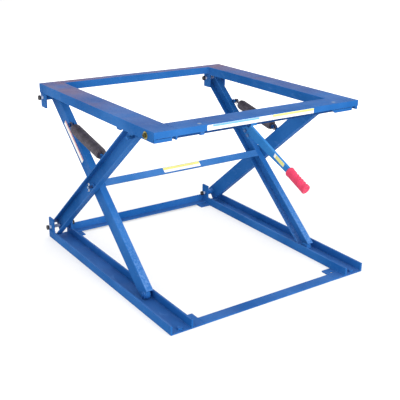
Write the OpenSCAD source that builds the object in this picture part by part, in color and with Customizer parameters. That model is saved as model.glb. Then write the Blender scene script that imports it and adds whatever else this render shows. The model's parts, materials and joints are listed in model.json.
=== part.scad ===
// Spring-assisted scissor lift stand, drawn raised. Two pairs of crossed channel legs
// carry an open top frame over an open floor frame. Front is -Y, up is +Z, millimetres.

/* [Frames] */
// Width over the outer faces of the side channels
stand_w = 1016; // [940:1:1100]
// Front to back length of the top frame
deck_d = 1016; // [1000:1:1050]
// Height of the top frame when raised
deck_h = 762; // [745:1:775]
// Front to back length of the floor frame
base_len = 1118; // [1090:1:1150]
// How far the floor frame stands out in front of the top frame
base_over = 109; // [80:1:120]

/* [Side channels] */
// Width of a side channel over its flanges
channel_w = 102; // [98:0.5:112]
// Height of a side channel flange
channel_h = 40; // [36:0.5:44]
// Thickness of the channel web
web_t = 5; // [4:0.5:6]
// Thickness of a channel flange
flange_t = 7.5; // [6:0.5:8]
// Rounding of the outer corners of a channel
corner_r = 2.5; // [1:0.5:4]

/* [Cross members] */
// Width of the front rail of the top frame
front_rail_w = 100; // [80:1:110]
// Height of the front rail of the top frame
front_rail_h = 24.5; // [22:0.5:28]
// Width of the rear rail of the top frame
rear_rail_w = 50; // [44:1:60]
// Height of the rear rail of the top frame
rear_rail_h = 34; // [28:1:38]
// Plate thickness of the front and rear rails
rail_t = 5; // [4:0.5:5.5]
// Width of the front bar of the floor frame
front_bar_w = 50; // [40:1:60]
// Thickness of the front bar and the floor tabs
tab_t = 6; // [5:0.5:8]
// Width of a floor tab
tab_w = 56; // [48:1:64]
// Length of a front floor tab
front_tab_d = 91; // [84:1:110]
// Length of a rear floor tab
rear_tab_d = 78; // [74:1:90]
// Leg size of the rear angle of the floor frame
angle_leg = 40; // [34:1:44]
// Thickness of the rear angle
angle_t = 5; // [4:0.5:6]
// Diameter of the floor anchor holes
anchor_d = 14; // [10:0.5:16]
// Distance of the floor anchor holes from the ends of the floor frame
anchor_inset = 59; // [52:0.5:64]

/* [Legs] */
// Distance from the centre pivot to a hinge pin
leg_half = 513; // [508:0.5:520]
// Lowest angle of the hinge line of a leg
low_angle = 25.3; // [24.5:0.1:28]
// Depth of a leg channel over its flanges
leg_depth = 70; // [62:1:74]
// Width of a leg flange
leg_flange = 32; // [28:0.5:34]
// Thickness of the leg channel
leg_t = 5; // [4:0.5:6]
// Rounding of the outer corners of a leg channel
leg_r = 4; // [2:0.5:5]
// Gap between the backs of two crossed legs
leg_gap = 2; // [1.6:0.1:3]
// Length of a leg past its hinge pin
leg_tail = 20; // [16:0.5:22]
// Distance from the end of the rear leg flange to the roller
flange_stop = 40; // [34:1:46]
// Reach of the front leg flange past the roller
flange_reach = 7; // [0:1:10]
// Radius of the tongue round a roller axle
tongue_r = 18; // [14:0.5:19]
// Width of the flat bar that ties the inner legs
tie_w = 34; // [26:1:40]
// Thickness of the flat bar that ties the inner legs
tie_t = 6; // [4:0.5:8]
// Distance of the tie bar from the centre pivot along the leg
tie_offset = 6; // [0:1:16]

/* [Hinges and rollers] */
// Height of a hinge pin from the back of its side channel
hinge_drop = 60; // [58:0.5:62]
// Distance of the hinge pins from the rear of the top frame
hinge_inset = 31; // [28:1:36]
// Diameter of the hinge pins
hinge_pin_d = 16; // [12:0.5:18]
// Thickness of a hinge lug
lug_t = 8; // [6:0.5:9]
// Height of a hinge lug
lug_h = 66; // [58:1:70]
// Reach of a hinge lug in front of its pin
lug_front = 30; // [22:1:36]
// Reach of a hinge lug behind its pin
lug_rear = 20; // [16:1:23]
// How far a hinge pin stands out of its lugs
pin_over = 16; // [16:0.5:26]
// Length of the caps on the hinge pins
cap_len = 8; // [8:0.5:14]
// Wall of the caps on the hinge pins
cap_wall = 3.5; // [2:0.25:4]
// Wall of the sleeve on a leg at its hinge pin
sleeve_wall = 6; // [4:0.5:7]
// Diameter of the centre pivot pins
pivot_d = 20; // [16:0.5:22]
// How far a centre pivot pin stands out of the outer leg
pivot_out = 30; // [10:1:34]
// Diameter of a centre pivot pin outside its collar
pivot_stub_d = 12; // [10:0.5:14]
// Rim of a pivot collar
pivot_collar = 6; // [4:0.5:8]
// Rim of a pivot washer
pivot_rim = 12; // [8:0.5:14]
// Diameter of the rollers
roller_d = 42; // [38:0.5:43]
// Width of the rollers
roller_w = 22; // [18:0.5:23]
// Gap between a roller and the web of its track
roller_gap = 1; // [0.8:0.1:2]
// Diameter of the roller axles
axle_d = 12; // [10:0.5:14]
// Thickness of the push-on rings on the pins and axles
ring_t = 2.5; // [2:0.25:3]
// Diameter of the bolts that stop the lower rollers
stop_bolt_d = 12; // [10:0.5:14]
// Distance of the stop bolts from the front of the floor frame
stop_bolt_inset = 18; // [14:0.5:22]
// Height of the bolt heads that stop the lower rollers
stop_bolt_h = 9; // [7:0.5:12]

/* [Lock] */
// Distance of the lock shaft from the front of the top frame
shaft_inset = 12; // [11.5:0.25:13]
// Depth of the lock shaft below the top of the frame
shaft_drop = 30; // [29.5:0.25:31]
// Diameter of the lock shaft
shaft_d = 12; // [10:0.5:12]
// Thickness of a hook plate
hook_t = 5; // [4:0.25:5]
// Width of the front tooth of a hook plate
tooth_w = 38; // [30:1:42]
// Depth of the tooth tips below the top of the frame
tooth_drop = 52; // [50:0.5:53]
// Depth of the lower edge of a hook plate below the top of the frame
hook_edge_drop = 29; // [27:0.5:31]
// Distance of the guide bolts from the front of the top frame
guide_inset = 59; // [56:1:64]
// Depth of the guide bolts below the top of the frame
guide_drop = 22; // [21:0.5:23]
// Diameter of the guide bolts
guide_d = 10; // [8:0.5:10]
// Turn of the lock from free to caught
lock_turn = 7; // [6:0.5:8]
// Diameter of the catch pins on the outer legs
catch_d = 12; // [10:0.5:12]
// Gap between a caught pin and the front tooth
catch_gap = 3; // [2:0.5:5]
// Distance of the left shaft hanger from the left end of the front rail
hanger_left_inset = 110; // [80:1:150]
// Distance of the right shaft hanger from the right end of the front rail
hanger_right_inset = 21; // [16:1:60]
// Width of a shaft hanger
hanger_w = 18; // [16:0.5:22]
// Reach of a shaft hanger behind the lock shaft
hanger_reach = 25; // [24:0.5:28]
// Depth of a shaft hanger below the lock shaft
hanger_drop = 8.5; // [8:0.5:12]
// Diameter of the hanger screws
screw_d = 8; // [6:0.5:8]
// Length of the hanger screws
screw_len = 24; // [20:1:28]
// Radius of the upright corners of the front face
face_r = 4; // [2:0.5:4.5]
// Distance of the stop plates behind the front face
stop_inset = 1; // [0.5:0.1:1.2]
// Thickness of the stop plates
stop_t = 2; // [1.5:0.1:2]
// Width of the left stop plate
stop_left_w = 76; // [60:1:96]
// Width of the right stop plate
stop_right_w = 120; // [100:1:130]
// Distance of the right stop plate from the outer face of its rail
stop_right_inset = 36; // [20:1:44]
// Slant of the inner end of the right stop plate
stop_slant = 20; // [10:1:30]

/* [Lever] */
// Sideways place of the lever
lever_x = -75; // [-160:1:40]
// Slope of the lever below level
lever_angle = 25; // [23:0.5:30]
// Distance from the lock shaft to the end of the grip
lever_len = 379; // [340:1:420]
// Height of the lever bar at its head
lever_head_h = 39; // [36:0.5:41]
// Height of the lever bar at its grip
lever_h = 24; // [20:0.5:28]
// Thickness of the lever bar
lever_t = 10; // [8:0.5:12]
// Thickness of the bracket plate on the lock shaft
bracket_t = 8; // [6:0.5:10]
// Length of the grip
grip_len = 106; // [96:1:120]
// Diameter of the grip
grip_d = 40; // [39:0.5:44]

/* [Springs] */
// Outer diameter of the spring coils
coil_od = 50; // [46:0.5:52]
// Wire diameter of the springs
wire_d = 5.6; // [5:0.1:5.7]
// Number of curls in a spring
curls = 36; // [30:1:37]
// Distance of the rear spring pin from the centre pivot along the inner leg
rear_eye_u = 308; // [300:1:316]
// Height of the rear spring pin over the inner leg
rear_eye_h = 10; // [9:0.5:12]
// Distance of the front spring pin from the centre pivot along the outer leg
front_eye_u = 179; // [174:1:184]
// Height of the front spring pin over the outer leg
front_eye_h = 19; // [18.5:0.5:22]
// Diameter of the spring pins
eye_pin_d = 12; // [10:0.5:12]
// Wire diameter of the rear spring eye
rear_eye_wire = 5; // [4:0.25:5]
// Wire diameter of the front spring eye
front_eye_wire = 6; // [5:0.25:6]
// Thickness of the lugs that hold the spring pins
spring_lug_t = 6; // [5:0.5:6.5]
// Steel round a spring pin in its lug
spring_lug_edge = 5; // [4:0.25:5.5]
// Distance from the rear spring pin to the coil
rear_reach = 50; // [46:0.5:52]
// Distance from the front spring pin to the coil
front_reach = 24; // [23:0.5:27]
// Free room of the front eye on its pin
eye_slack = 5; // [4.5:0.25:5]
// Free room of the front eye ahead of its pin when raised
eye_lead = 3.3; // [3:0.1:3.6]

/* [Fits] */
// Radial clearance of a pin that turns in its bore
turn_fit = 0.05; // [0.03:0.01:0.1]
// Clearance between a leg and the part beside it
side_fit = 0.5; // [0.4:0.1:0.8]

/* [Hidden] */
$fn = 48;
steel_blue = [0.16, 0.38, 0.74];
deep_blue = [0.10, 0.30, 0.62];
zinc = [0.78, 0.79, 0.80];
gold = [0.80, 0.66, 0.28];
dark = [0.20, 0.20, 0.24];
red = [0.88, 0.18, 0.36];

x_out = -stand_w / 2;
x_in = x_out + channel_w;
x_mid = x_out + channel_w / 2;
x_hollow_out = x_out + flange_t;
x_hollow_in = x_in - flange_t;
inner_w = -2 * x_in;
base_front = -base_len / 2;
deck_rear = base_front + base_over + deck_d;

// Hinge line of the raised legs and the small bend that keeps the rollers level
hinge_y = deck_rear - hinge_inset;
deck_hinge_z = deck_h - hinge_drop;
pivot_z = deck_h / 2;
raised = asin((deck_hinge_z - hinge_drop) / (2 * leg_half));
pivot_y = hinge_y - leg_half * cos(raised);
roller_z = web_t + roller_gap + roller_d / 2;
step = hinge_drop - roller_z;
rise_up = leg_half * sin(raised) + step;
rise_low = leg_half * sin(low_angle) + step;
bend = atan((rise_low * sin(raised) - rise_up * sin(low_angle))
    / (rise_up * cos(low_angle) - rise_low * cos(raised)));
leg_arm = rise_up / sin(raised + bend);
tilt = raised + bend / 2;
bow = leg_half * sin(bend / 2) / 2;
hinge_uv = [-leg_half * cos(bend / 2), bow];
roller_uv = [leg_arm * cos(bend / 2), leg_arm * sin(bend / 2) - bow];
catch_uv = roller_uv - [47, 16];
flange_end = roller_uv[0] - flange_stop;
flange_far = roller_uv[0] + flange_reach;
leg_end = hinge_uv[0] - leg_tail;

// The top frame reaches past the lowered top rollers, and the floor frame past its hinge lugs
low_roller_y = hinge_y - leg_half * cos(low_angle) - leg_arm * cos(low_angle + bend);
roller_room = 2;
deck_front = min(base_front + base_over,
    low_roller_y - roller_d / 2 - roller_room - shaft_d / 2 - shaft_inset);
deck_len = deck_rear - deck_front;
lug_margin = 3;
base_rear = max(base_len / 2, hinge_y + lug_rear + lug_margin);
floor_len = base_rear - base_front;

// Sideways places of the leg backs, hook plates and springs
outer_back = x_mid - leg_gap / 2;
inner_back = x_mid + leg_gap / 2;
hook_gap = 1;
hook_x = x_hollow_out + hook_gap;
spring_x = x_mid - 4;

function outer_at(uv) = [
    pivot_y - uv[0] * cos(tilt) + (uv[1] + bow) * sin(tilt),
    pivot_z + uv[0] * sin(tilt) + (uv[1] + bow) * cos(tilt)];
function inner_at(uv) = [outer_at(uv)[0], 2 * pivot_z - outer_at(uv)[1]];

catch_at = outer_at(catch_uv);
top_roller_at = outer_at(roller_uv);
base_roller_at = inner_at(roller_uv);
shaft_y = deck_front + shaft_inset;
shaft_z = deck_h - shaft_drop;
guide_y = deck_front + guide_inset;
guide_z = deck_h - guide_drop;

// Spring axis from the rear pin on the inner leg to the front pin on the outer leg
rear_eye_uv = [-rear_eye_u, -leg_depth / 2 - rear_eye_h];
front_eye_uv = [front_eye_u, leg_depth / 2 + front_eye_h];
rear_eye_at = inner_at(rear_eye_uv);
front_eye_at = outer_at(front_eye_uv);
spring_span = norm(front_eye_at - rear_eye_at);
spring_tilt = atan((rear_eye_at[1] - front_eye_at[1]) / (rear_eye_at[0] - front_eye_at[0]));
coil_r = (coil_od - wire_d) / 2;
coil_len = spring_span - rear_reach - front_reach;
coil_bend = 0.75 * wire_d;
seat_gap = 0.3;
helix_len = coil_len - 2 * (wire_d + coil_bend + seat_gap);
plug_t = 8;
plug_r = coil_od / 2 - 3;
core_len = 25;
coil_rings = 8;
core_r = (coil_od / 2 - wire_d) * cos(180 / coil_rings) - 0.4;

// Left-hand drawing and its mirror image
module right() mirror([1, 0, 0]) children();
module both() {
    children();
    right() children();
}

// Flat shape drawn in a side view, [-y, z], as a plate from x_low to x_low + t
module slab(x_low, t)
    translate([x_low + t, 0, 0]) rotate([90, 0, -90]) linear_extrude(t) children();
module rod(x_low, t, r, y, z)
    translate([x_low, y, z]) rotate([0, 90, 0]) cylinder(h = t, r = r);
module pipe(x_low, t, r, bore, y, z) difference() {
    rod(x_low, t, r, y, z);
    rod(x_low - 1, t + 2, bore, y, z);
}
module hexagon(x_low, t, flats, y, z)
    translate([x_low, y, z]) rotate([0, 90, 0]) cylinder(h = t, d = flats / cos(30), $fn = 6);
module box_side(y0, y1, z0, z1) translate([-y1, z0]) square([y1 - y0, z1 - z0]);
module spot(y, z, r) translate([-y, z]) circle(r);

// Side view placed in the frame of an outer or an inner leg, pivot at v = -bow
module outer_view() translate([-pivot_y, pivot_z]) rotate(tilt) translate([0, bow]) children();
module inner_view() translate([-pivot_y, pivot_z]) mirror([0, 1])
    rotate(tilt) translate([0, bow]) children();

// Channel section, back on the X axis and flanges up
module channel_section(w, h, web, flange, r) difference() {
    union() {
        translate([r, 0]) square([w - 2 * r, h]);
        translate([0, r]) square([w, h - r]);
        translate([r, r]) circle(r);
        translate([w - r, r]) circle(r);
    }
    translate([flange, web]) square([w - 2 * flange, h]);
}
module along_y(x, y_rear, z, len) translate([x, y_rear, z]) rotate([90, 0, 0])
    linear_extrude(len) children();
module along_x(y_front, z, len) translate([-len / 2, y_front, z]) rotate([90, 0, 90])
    linear_extrude(len) children();

// Floor frame
module base_channel() difference() {
    along_y(x_out, base_rear, 0, floor_len) channel_section(channel_w, channel_h, web_t, flange_t, corner_r);
    translate([x_mid, base_front + stop_bolt_inset, -1])
        cylinder(h = web_t + 2, r = stop_bolt_d / 2 + turn_fit);
}
module base_channel_left() color(steel_blue) base_channel();
module base_channel_right() color(steel_blue) right() base_channel();
module base_front_bar() color(steel_blue)
    translate([x_in + tab_w, base_front, 0]) cube([inner_w - 2 * tab_w, front_bar_w, tab_t]);
module base_rear_angle() color(steel_blue)
    along_x(base_rear - angle_leg, tab_t, inner_w) union() {
        square([angle_leg, angle_t]);
        translate([angle_leg - angle_t, 0]) square([angle_t, angle_leg]);
    }
module floor_tab(y, len, hole_y) difference() {
    translate([x_in, y, 0]) cube([tab_w, len, tab_t]);
    translate([x_in + tab_w / 2, hole_y, -1]) cylinder(h = tab_t + 2, d = anchor_d);
}
module floor_tabs() color(steel_blue) both() {
    floor_tab(base_front, front_tab_d, base_front + anchor_inset);
    floor_tab(base_rear - rear_tab_d, rear_tab_d, base_rear - anchor_inset);
}
module stop_bolt() translate([x_mid, base_front + stop_bolt_inset, 0]) {
    cylinder(h = web_t + stop_bolt_h - 1, d = stop_bolt_d);
    translate([0, 0, web_t]) cylinder(h = stop_bolt_h, d = stop_bolt_d / 0.6 / cos(30), $fn = 6);
}
module base_stop_bolts() color(zinc) both() stop_bolt();

// Hinge lugs stand on the flange edges, one outer and one inner on each side
module lug_shape(z0, z1, pin_z) difference() {
    box_side(hinge_y - lug_front, hinge_y + lug_rear, z0, z1);
    spot(hinge_y, pin_z, hinge_pin_d / 2 + turn_fit);
}
module lug_pair(z0, z1, pin_z) {
    slab(x_out, lug_t) lug_shape(z0, z1, pin_z);
    slab(x_in - lug_t, lug_t) lug_shape(z0, z1, pin_z);
}
module base_hinge_lugs() color(steel_blue) both() lug_pair(channel_h, channel_h + lug_h, hinge_drop);
module deck_hinge_lugs() color(steel_blue)
    both() lug_pair(deck_h - channel_h - lug_h, deck_h - channel_h, deck_hinge_z);
module hinge_pin(z) rod(x_out - pin_over, channel_w + 2 * pin_over, hinge_pin_d / 2, hinge_y, z);
module base_hinge_pins() color(zinc) both() hinge_pin(hinge_drop);
module deck_hinge_pins() color(zinc) both() hinge_pin(deck_hinge_z);
cap_r = hinge_pin_d / 2 + cap_wall;
module pin_caps(z) difference() {
    union() {
        rod(x_out - pin_over - cap_wall, cap_len, cap_r, hinge_y, z);
        rod(x_in + pin_over + cap_wall - cap_len, cap_len, cap_r, hinge_y, z);
    }
    rod(x_out - pin_over, channel_w + 2 * pin_over, hinge_pin_d / 2 + turn_fit, hinge_y, z);
}
module base_pin_caps() color(dark) both() pin_caps(hinge_drop);
module deck_pin_caps() color(dark) both() pin_caps(deck_hinge_z);

// Legs, channels with a tongue at the roller and a sleeve at the hinge
tongue_w = leg_depth / 2 - leg_r - 0.5;
module tongue() {
    polygon([[flange_end - 12, -tongue_w], [flange_end, -tongue_w],
        [roller_uv[0], roller_uv[1] - tongue_r + 2], [roller_uv[0], roller_uv[1] + tongue_r - 2],
        [flange_end, tongue_w], [flange_end - 12, tongue_w]]);
    translate(roller_uv) circle(tongue_r);
}
module end_cut() polygon([[flange_end, leg_depth / 2 + 1], [flange_far + 1, leg_depth / 2 + 1],
    [flange_far + 1, leg_t - leg_depth / 2], [flange_far, leg_t - leg_depth / 2]]);
module leg_channel() along_y(0, -leg_end, 0, flange_far - leg_end) rotate(90)
    translate([-leg_depth / 2, 0]) channel_section(leg_depth, leg_flange, leg_t, leg_t, leg_r);
module leg_frame() translate([0, pivot_y, pivot_z]) children();
module leg_lean() rotate([-tilt, 0, 0]) translate([0, 0, bow]) children();
module outer_leg() difference() {
    union() {
        difference() {
            leg_frame() leg_lean() translate([outer_back, 0, 0]) leg_channel();
            slab(outer_back - leg_flange - 1, leg_flange + 2) outer_view() end_cut();
        }
        slab(outer_back - leg_t, leg_t) outer_view() tongue();
        rod(outer_back - 1, x_in - lug_t - side_fit - outer_back + 1, hinge_pin_d / 2 + sleeve_wall,
            hinge_y, hinge_drop);
    }
    rod(x_out, channel_w, hinge_pin_d / 2 + turn_fit, hinge_y, hinge_drop);
    rod(x_out, channel_w, pivot_d / 2 + turn_fit, pivot_y, pivot_z);
    rod(x_out, channel_w, axle_d / 2 + turn_fit, top_roller_at[0], top_roller_at[1]);
    rod(x_out, channel_w, catch_d / 2 + turn_fit, catch_at[0], catch_at[1]);
}
module inner_leg() difference() {
    union() {
        difference() {
            leg_frame() mirror([0, 0, 1]) leg_lean() translate([inner_back, 0, 0]) right() leg_channel();
            slab(inner_back - 1, leg_flange + 2) inner_view() end_cut();
        }
        slab(inner_back, leg_t) inner_view() tongue();
        rod(x_out + lug_t + side_fit, inner_back - x_out - lug_t - side_fit + 1,
            hinge_pin_d / 2 + sleeve_wall, hinge_y, deck_hinge_z);
    }
    rod(x_out, channel_w, hinge_pin_d / 2 + turn_fit, hinge_y, deck_hinge_z);
    rod(x_out, channel_w, pivot_d / 2 + turn_fit, pivot_y, pivot_z);
    rod(x_out, channel_w, axle_d / 2 + turn_fit, base_roller_at[0], base_roller_at[1]);
}
module outer_leg_left() color(steel_blue) outer_leg();
module outer_leg_right() color(steel_blue) right() outer_leg();
module inner_leg_left() color(steel_blue) inner_leg();
module inner_leg_right() color(steel_blue) right() inner_leg();
module tie_bar() color(steel_blue)
    slab(inner_back + leg_flange, -2 * (inner_back + leg_flange)) inner_view()
        translate([tie_offset - tie_w / 2, -leg_depth / 2]) square([tie_w, tie_t]);

// Centre pivots, headed in the outer leg and nutted in the inner leg
module pivot_pin() {
    rod(outer_back - leg_t - pivot_collar, pivot_collar, pivot_d / 2 + pivot_collar, pivot_y, pivot_z);
    rod(outer_back - leg_t - pivot_out, pivot_out - 1, pivot_stub_d / 2, pivot_y, pivot_z);
    rod(outer_back - leg_t - 1, 2 * leg_t + leg_gap + 0.6 * pivot_d + 1, pivot_d / 2, pivot_y, pivot_z);
}
module pivot_nut() difference() {
    hexagon(inner_back + leg_t + side_fit, pivot_d / 2, pivot_d * 1.5, pivot_y, pivot_z);
    rod(inner_back, pivot_d + leg_t, pivot_d / 2 + turn_fit, pivot_y, pivot_z);
}
module pivot_pins() color(zinc) both() pivot_pin();
module pivot_nuts() color(zinc) both() pivot_nut();
module pivot_washers() color(dark) both()
    pipe(outer_back + leg_gap * 0.15, leg_gap * 0.7, pivot_d / 2 + pivot_rim, pivot_d / 2 + turn_fit,
        pivot_y, pivot_z);

// Rollers run outside the outer leg at the top and inside the inner leg at the base
module roller(x_low, at) {
    difference() {
        union() {
            rod(x_low + 1.5, roller_w - 3, roller_d / 2, at[0], at[1]);
            rod(x_low, roller_w, roller_d / 2 - 1.5, at[0], at[1]);
        }
        rod(x_low - 1, roller_w + 2, axle_d / 2 + turn_fit, at[0], at[1]);
    }
}
top_roller_x = outer_back - leg_t - side_fit - roller_w;
base_roller_x = inner_back + leg_t + side_fit;
module top_roller_left() color(dark) roller(top_roller_x, top_roller_at);
module top_roller_right() color(dark) right() roller(top_roller_x, top_roller_at);
module base_roller_left() color(dark) roller(base_roller_x, base_roller_at);
module base_roller_right() color(dark) right() roller(base_roller_x, base_roller_at);
module top_axles() color(zinc) both() {
    rod(outer_back, 4, axle_d / 2 + 4, top_roller_at[0], top_roller_at[1]);
    rod(top_roller_x - 4, roller_w + leg_t + 6, axle_d / 2, top_roller_at[0], top_roller_at[1]);
}
module top_axle_rings() color(dark) both()
    pipe(top_roller_x - side_fit - ring_t, ring_t, axle_d / 2 + 4, axle_d / 2 + turn_fit,
        top_roller_at[0], top_roller_at[1]);
module base_axles() color(zinc) both() {
    rod(inner_back - 4, 4, axle_d / 2 + 4, base_roller_at[0], base_roller_at[1]);
    rod(inner_back - 1, roller_w + leg_t + 5, axle_d / 2, base_roller_at[0], base_roller_at[1]);
}
module base_axle_rings() color(dark) both()
    pipe(base_roller_x + roller_w + side_fit, ring_t, axle_d / 2 + 4, axle_d / 2 + turn_fit,
        base_roller_at[0], base_roller_at[1]);
module catch_pins() color(steel_blue) both()
    rod(hook_x - 0.5, outer_back - hook_x + 0.5, catch_d / 2, catch_at[0], catch_at[1]);

// Top frame
module deck_rail() difference() {
    along_y(x_out, deck_rear, deck_h, deck_len - rail_t) mirror([0, 1])
        channel_section(channel_w, channel_h, web_t, flange_t, corner_r);
    rod(x_in - flange_t - 1, flange_t + 2, shaft_d / 2 + turn_fit, shaft_y, shaft_z);
    rod(x_out - 1, flange_t + 2, guide_d / 2 + turn_fit, guide_y, guide_z);
}
module deck_rail_left() color(steel_blue) deck_rail();
module deck_rail_right() color(steel_blue) right() deck_rail();
hanger_y = shaft_y + 0.6 * hanger_reach;
hanger_xs = [x_in + hanger_left_inset, -x_in - hanger_right_inset];
module screw(x, grow) {
    translate([x, hanger_y, deck_h - screw_d / 2])
        cylinder(h = screw_d / 2, r1 = screw_d / 2 + grow, r2 = screw_d + grow);
    translate([x, hanger_y, deck_h - screw_len])
        cylinder(h = screw_len - screw_d / 2 + 1, r = screw_d / 2 + grow);
}
module face_corner() translate([x_out - 1, deck_front - 1, deck_h - front_rail_h - 1]) difference() {
    cube([face_r + 1, face_r + 1, front_rail_h + 2]);
    translate([face_r + 1, face_r + 1, -1]) cylinder(h = front_rail_h + 4, r = face_r);
}
module deck_front_rail() color(steel_blue) difference() {
    along_x(deck_front, deck_h, stand_w) mirror([0, 1])
        channel_section(front_rail_w, front_rail_h, rail_t, rail_t, corner_r);
    both() translate([x_out - 1, deck_front + rail_t, deck_h - front_rail_h - 1])
        cube([channel_w + 1, front_rail_w, front_rail_h + 2]);
    both() face_corner();
    for (x = hanger_xs) screw(x, turn_fit);
}
module deck_rear_rail() color(steel_blue)
    along_x(deck_rear - rear_rail_w, deck_h, inner_w) mirror([0, 1])
        channel_section(rear_rail_w, rear_rail_h, rail_t, rail_t, corner_r);
stop_h = channel_h - front_rail_h;
module stop_plate(x) translate([x, deck_front + stop_inset + stop_t, deck_h - channel_h])
    rotate([90, 0, 0]) linear_extrude(stop_t) children();
module deck_stop_plate_left() color(steel_blue)
    stop_plate(x_out + stop_inset) square([stop_left_w, stop_h]);
module deck_stop_plate_right() color(steel_blue) stop_plate(-x_out - stop_right_inset - stop_right_w)
    polygon([[0, stop_h], [stop_slant, 0], [stop_right_w, 0], [stop_right_w, stop_h]]);
module shaft_hanger(x) difference() {
    translate([x - hanger_w / 2, shaft_y - shaft_d / 2, shaft_z - hanger_drop])
        cube([hanger_w, shaft_d / 2 + hanger_reach, shaft_drop - rail_t + hanger_drop]);
    rod(x - hanger_w, 2 * hanger_w, shaft_d / 2 + turn_fit, shaft_y, shaft_z);
    screw(x, turn_fit);
}
module shaft_hangers() color(deep_blue) for (x = hanger_xs) shaft_hanger(x);
module hanger_screws() color(zinc) for (x = hanger_xs) screw(x, 0);
module guide_bolts() color(gold) both() {
    rod(x_out - 2, 2, guide_d * 1.5, guide_y, guide_z);
    hexagon(x_out - 9, 8, guide_d * 1.6, guide_y, guide_z);
    rod(x_out - 1, flange_t + hook_t + 6, guide_d / 2, guide_y, guide_z);
}
module guide_nuts() color(gold) both() difference() {
    hexagon(hook_x + hook_t + 0.5, 3.5, guide_d * 1.6, guide_y, guide_z);
    rod(hook_x + hook_t, 6, guide_d / 2 + turn_fit, guide_y, guide_z);
}

// Lock shaft with a hook plate at each end, drawn free of the catch pins
tooth_z = deck_h - tooth_drop;
valley_z = deck_h - hook_edge_drop;
front_tooth_y = catch_at[0] - catch_d / 2 - catch_gap - tooth_w;
rear_tooth_y = catch_at[0] + 42;
module tooth(y0, y1) {
    box_side(y0, y1, tooth_z + 9, valley_z + 2);
    box_side(y0 + 9, y1 - 9, tooth_z, valley_z);
    spot(y0 + 9, tooth_z + 9, 9);
    spot(y1 - 9, tooth_z + 9, 9);
}
module hook_shape() difference() {
    union() {
        box_side(shaft_y + 20, rear_tooth_y + tooth_w, valley_z, deck_h - web_t - 3);
        box_side(shaft_y, front_tooth_y + 10, shaft_z - 8, shaft_z + 8);
        tooth(front_tooth_y, front_tooth_y + tooth_w);
        tooth(rear_tooth_y, rear_tooth_y + tooth_w);
        spot(shaft_y, shaft_z, shaft_d / 2 + 2.5);
    }
    spot(shaft_y, shaft_z, shaft_d / 2 + turn_fit);
    for (k = [0:2]) translate([-shaft_y, shaft_z]) rotate(-k * lock_turn / 2) translate([shaft_y, -shaft_z])
        spot(guide_y, guide_z, guide_d / 2 + 0.6);
}
module hook_left() color(deep_blue) slab(hook_x, hook_t) hook_shape();
module hook_right() color(deep_blue) right() slab(hook_x, hook_t) hook_shape();
module lock_shaft() color(dark) rod(hook_x - 0.5, -2 * hook_x + 1, shaft_d / 2, shaft_y, shaft_z);

// Lever with a wide head, clamped to a bracket on the lock shaft. s runs to the grip
lever_mid = shaft_d / 2 - lever_h / 2;
bolt_spots = [[0, -30], [20, -37]];
module lever_view() translate([-shaft_y, shaft_z]) rotate(-lever_angle) children();
module lever_head() polygon([[-24, -28], [-8, -10], [10, -10], [46, shaft_d / 2 - lever_head_h],
    [31, -36], [26, -50], [0, -42]]);
module lever_outline() polygon([[-24, -28], [-8, -10], [10, -10], [14, lever_mid + lever_h / 2],
    [lever_len - 8, lever_mid + lever_h / 2], [lever_len - 8, lever_mid - lever_h / 2],
    [grip_from, lever_mid - lever_h / 2], [46, shaft_d / 2 - lever_head_h],
    [31, -36], [26, -50], [0, -42]]);
module bolt_holes() for (p = bolt_spots) translate(p) circle(4 + turn_fit);
module lever_place(s, n) translate([lever_x, shaft_y, shaft_z]) rotate([lever_angle, 0, 0])
    translate([0, -s, n]) children();
module release_lever() color(steel_blue) slab(lever_x - lever_t / 2, lever_t) lever_view() difference() {
    lever_outline();
    bolt_holes();
}
module lever_bracket() color(deep_blue) difference() {
    union() {
        slab(lever_x + lever_t / 2, bracket_t) lever_view() difference() {
            union() {
                lever_head();
                translate([-7, -20]) square([14, 20]);
            }
            bolt_holes();
        }
        rod(lever_x + lever_t / 2, bracket_t + 20, shaft_d / 2 + 2, shaft_y, shaft_z);
    }
    rod(lever_x - lever_t, 2 * lever_t + bracket_t + 30, shaft_d / 2 + turn_fit, shaft_y, shaft_z);
}
module lever_bolts() color(zinc) for (p = bolt_spots) lever_place(p[0], p[1]) {
    hexagon(-lever_t / 2 - 5.5, 5.5, 13, 0, 0);
    rod(-lever_t / 2 - 1, lever_t + bracket_t + 9, 4, 0, 0);
}
module lever_nuts() color(zinc) for (p = bolt_spots) lever_place(p[0], p[1]) difference() {
    hexagon(lever_t / 2 + bracket_t, 6.5, 13, 0, 0);
    rod(lever_t / 2 + bracket_t - 1, 9, 4 + turn_fit, 0, 0);
}
grip_from = lever_len - grip_len;
module grip_body() rotate([90, 0, 0]) rotate_extrude() difference() {
    square([grip_d / 2, grip_len]);
    for (k = [0:3]) translate([grip_d / 2 + 8, grip_len * (k + 0.75) / 4.5]) circle(10.5);
}
module lever_grip() color(red) difference() {
    lever_place(grip_from, lever_mid) grip_body();
    lever_place(lever_len - 8 + side_fit, lever_mid - lever_h / 2 - 0.1)
        translate([-lever_t / 2 - 0.1, 0, 0]) cube([lever_t + 0.2, grip_len, lever_h + 0.2]);
}

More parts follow.
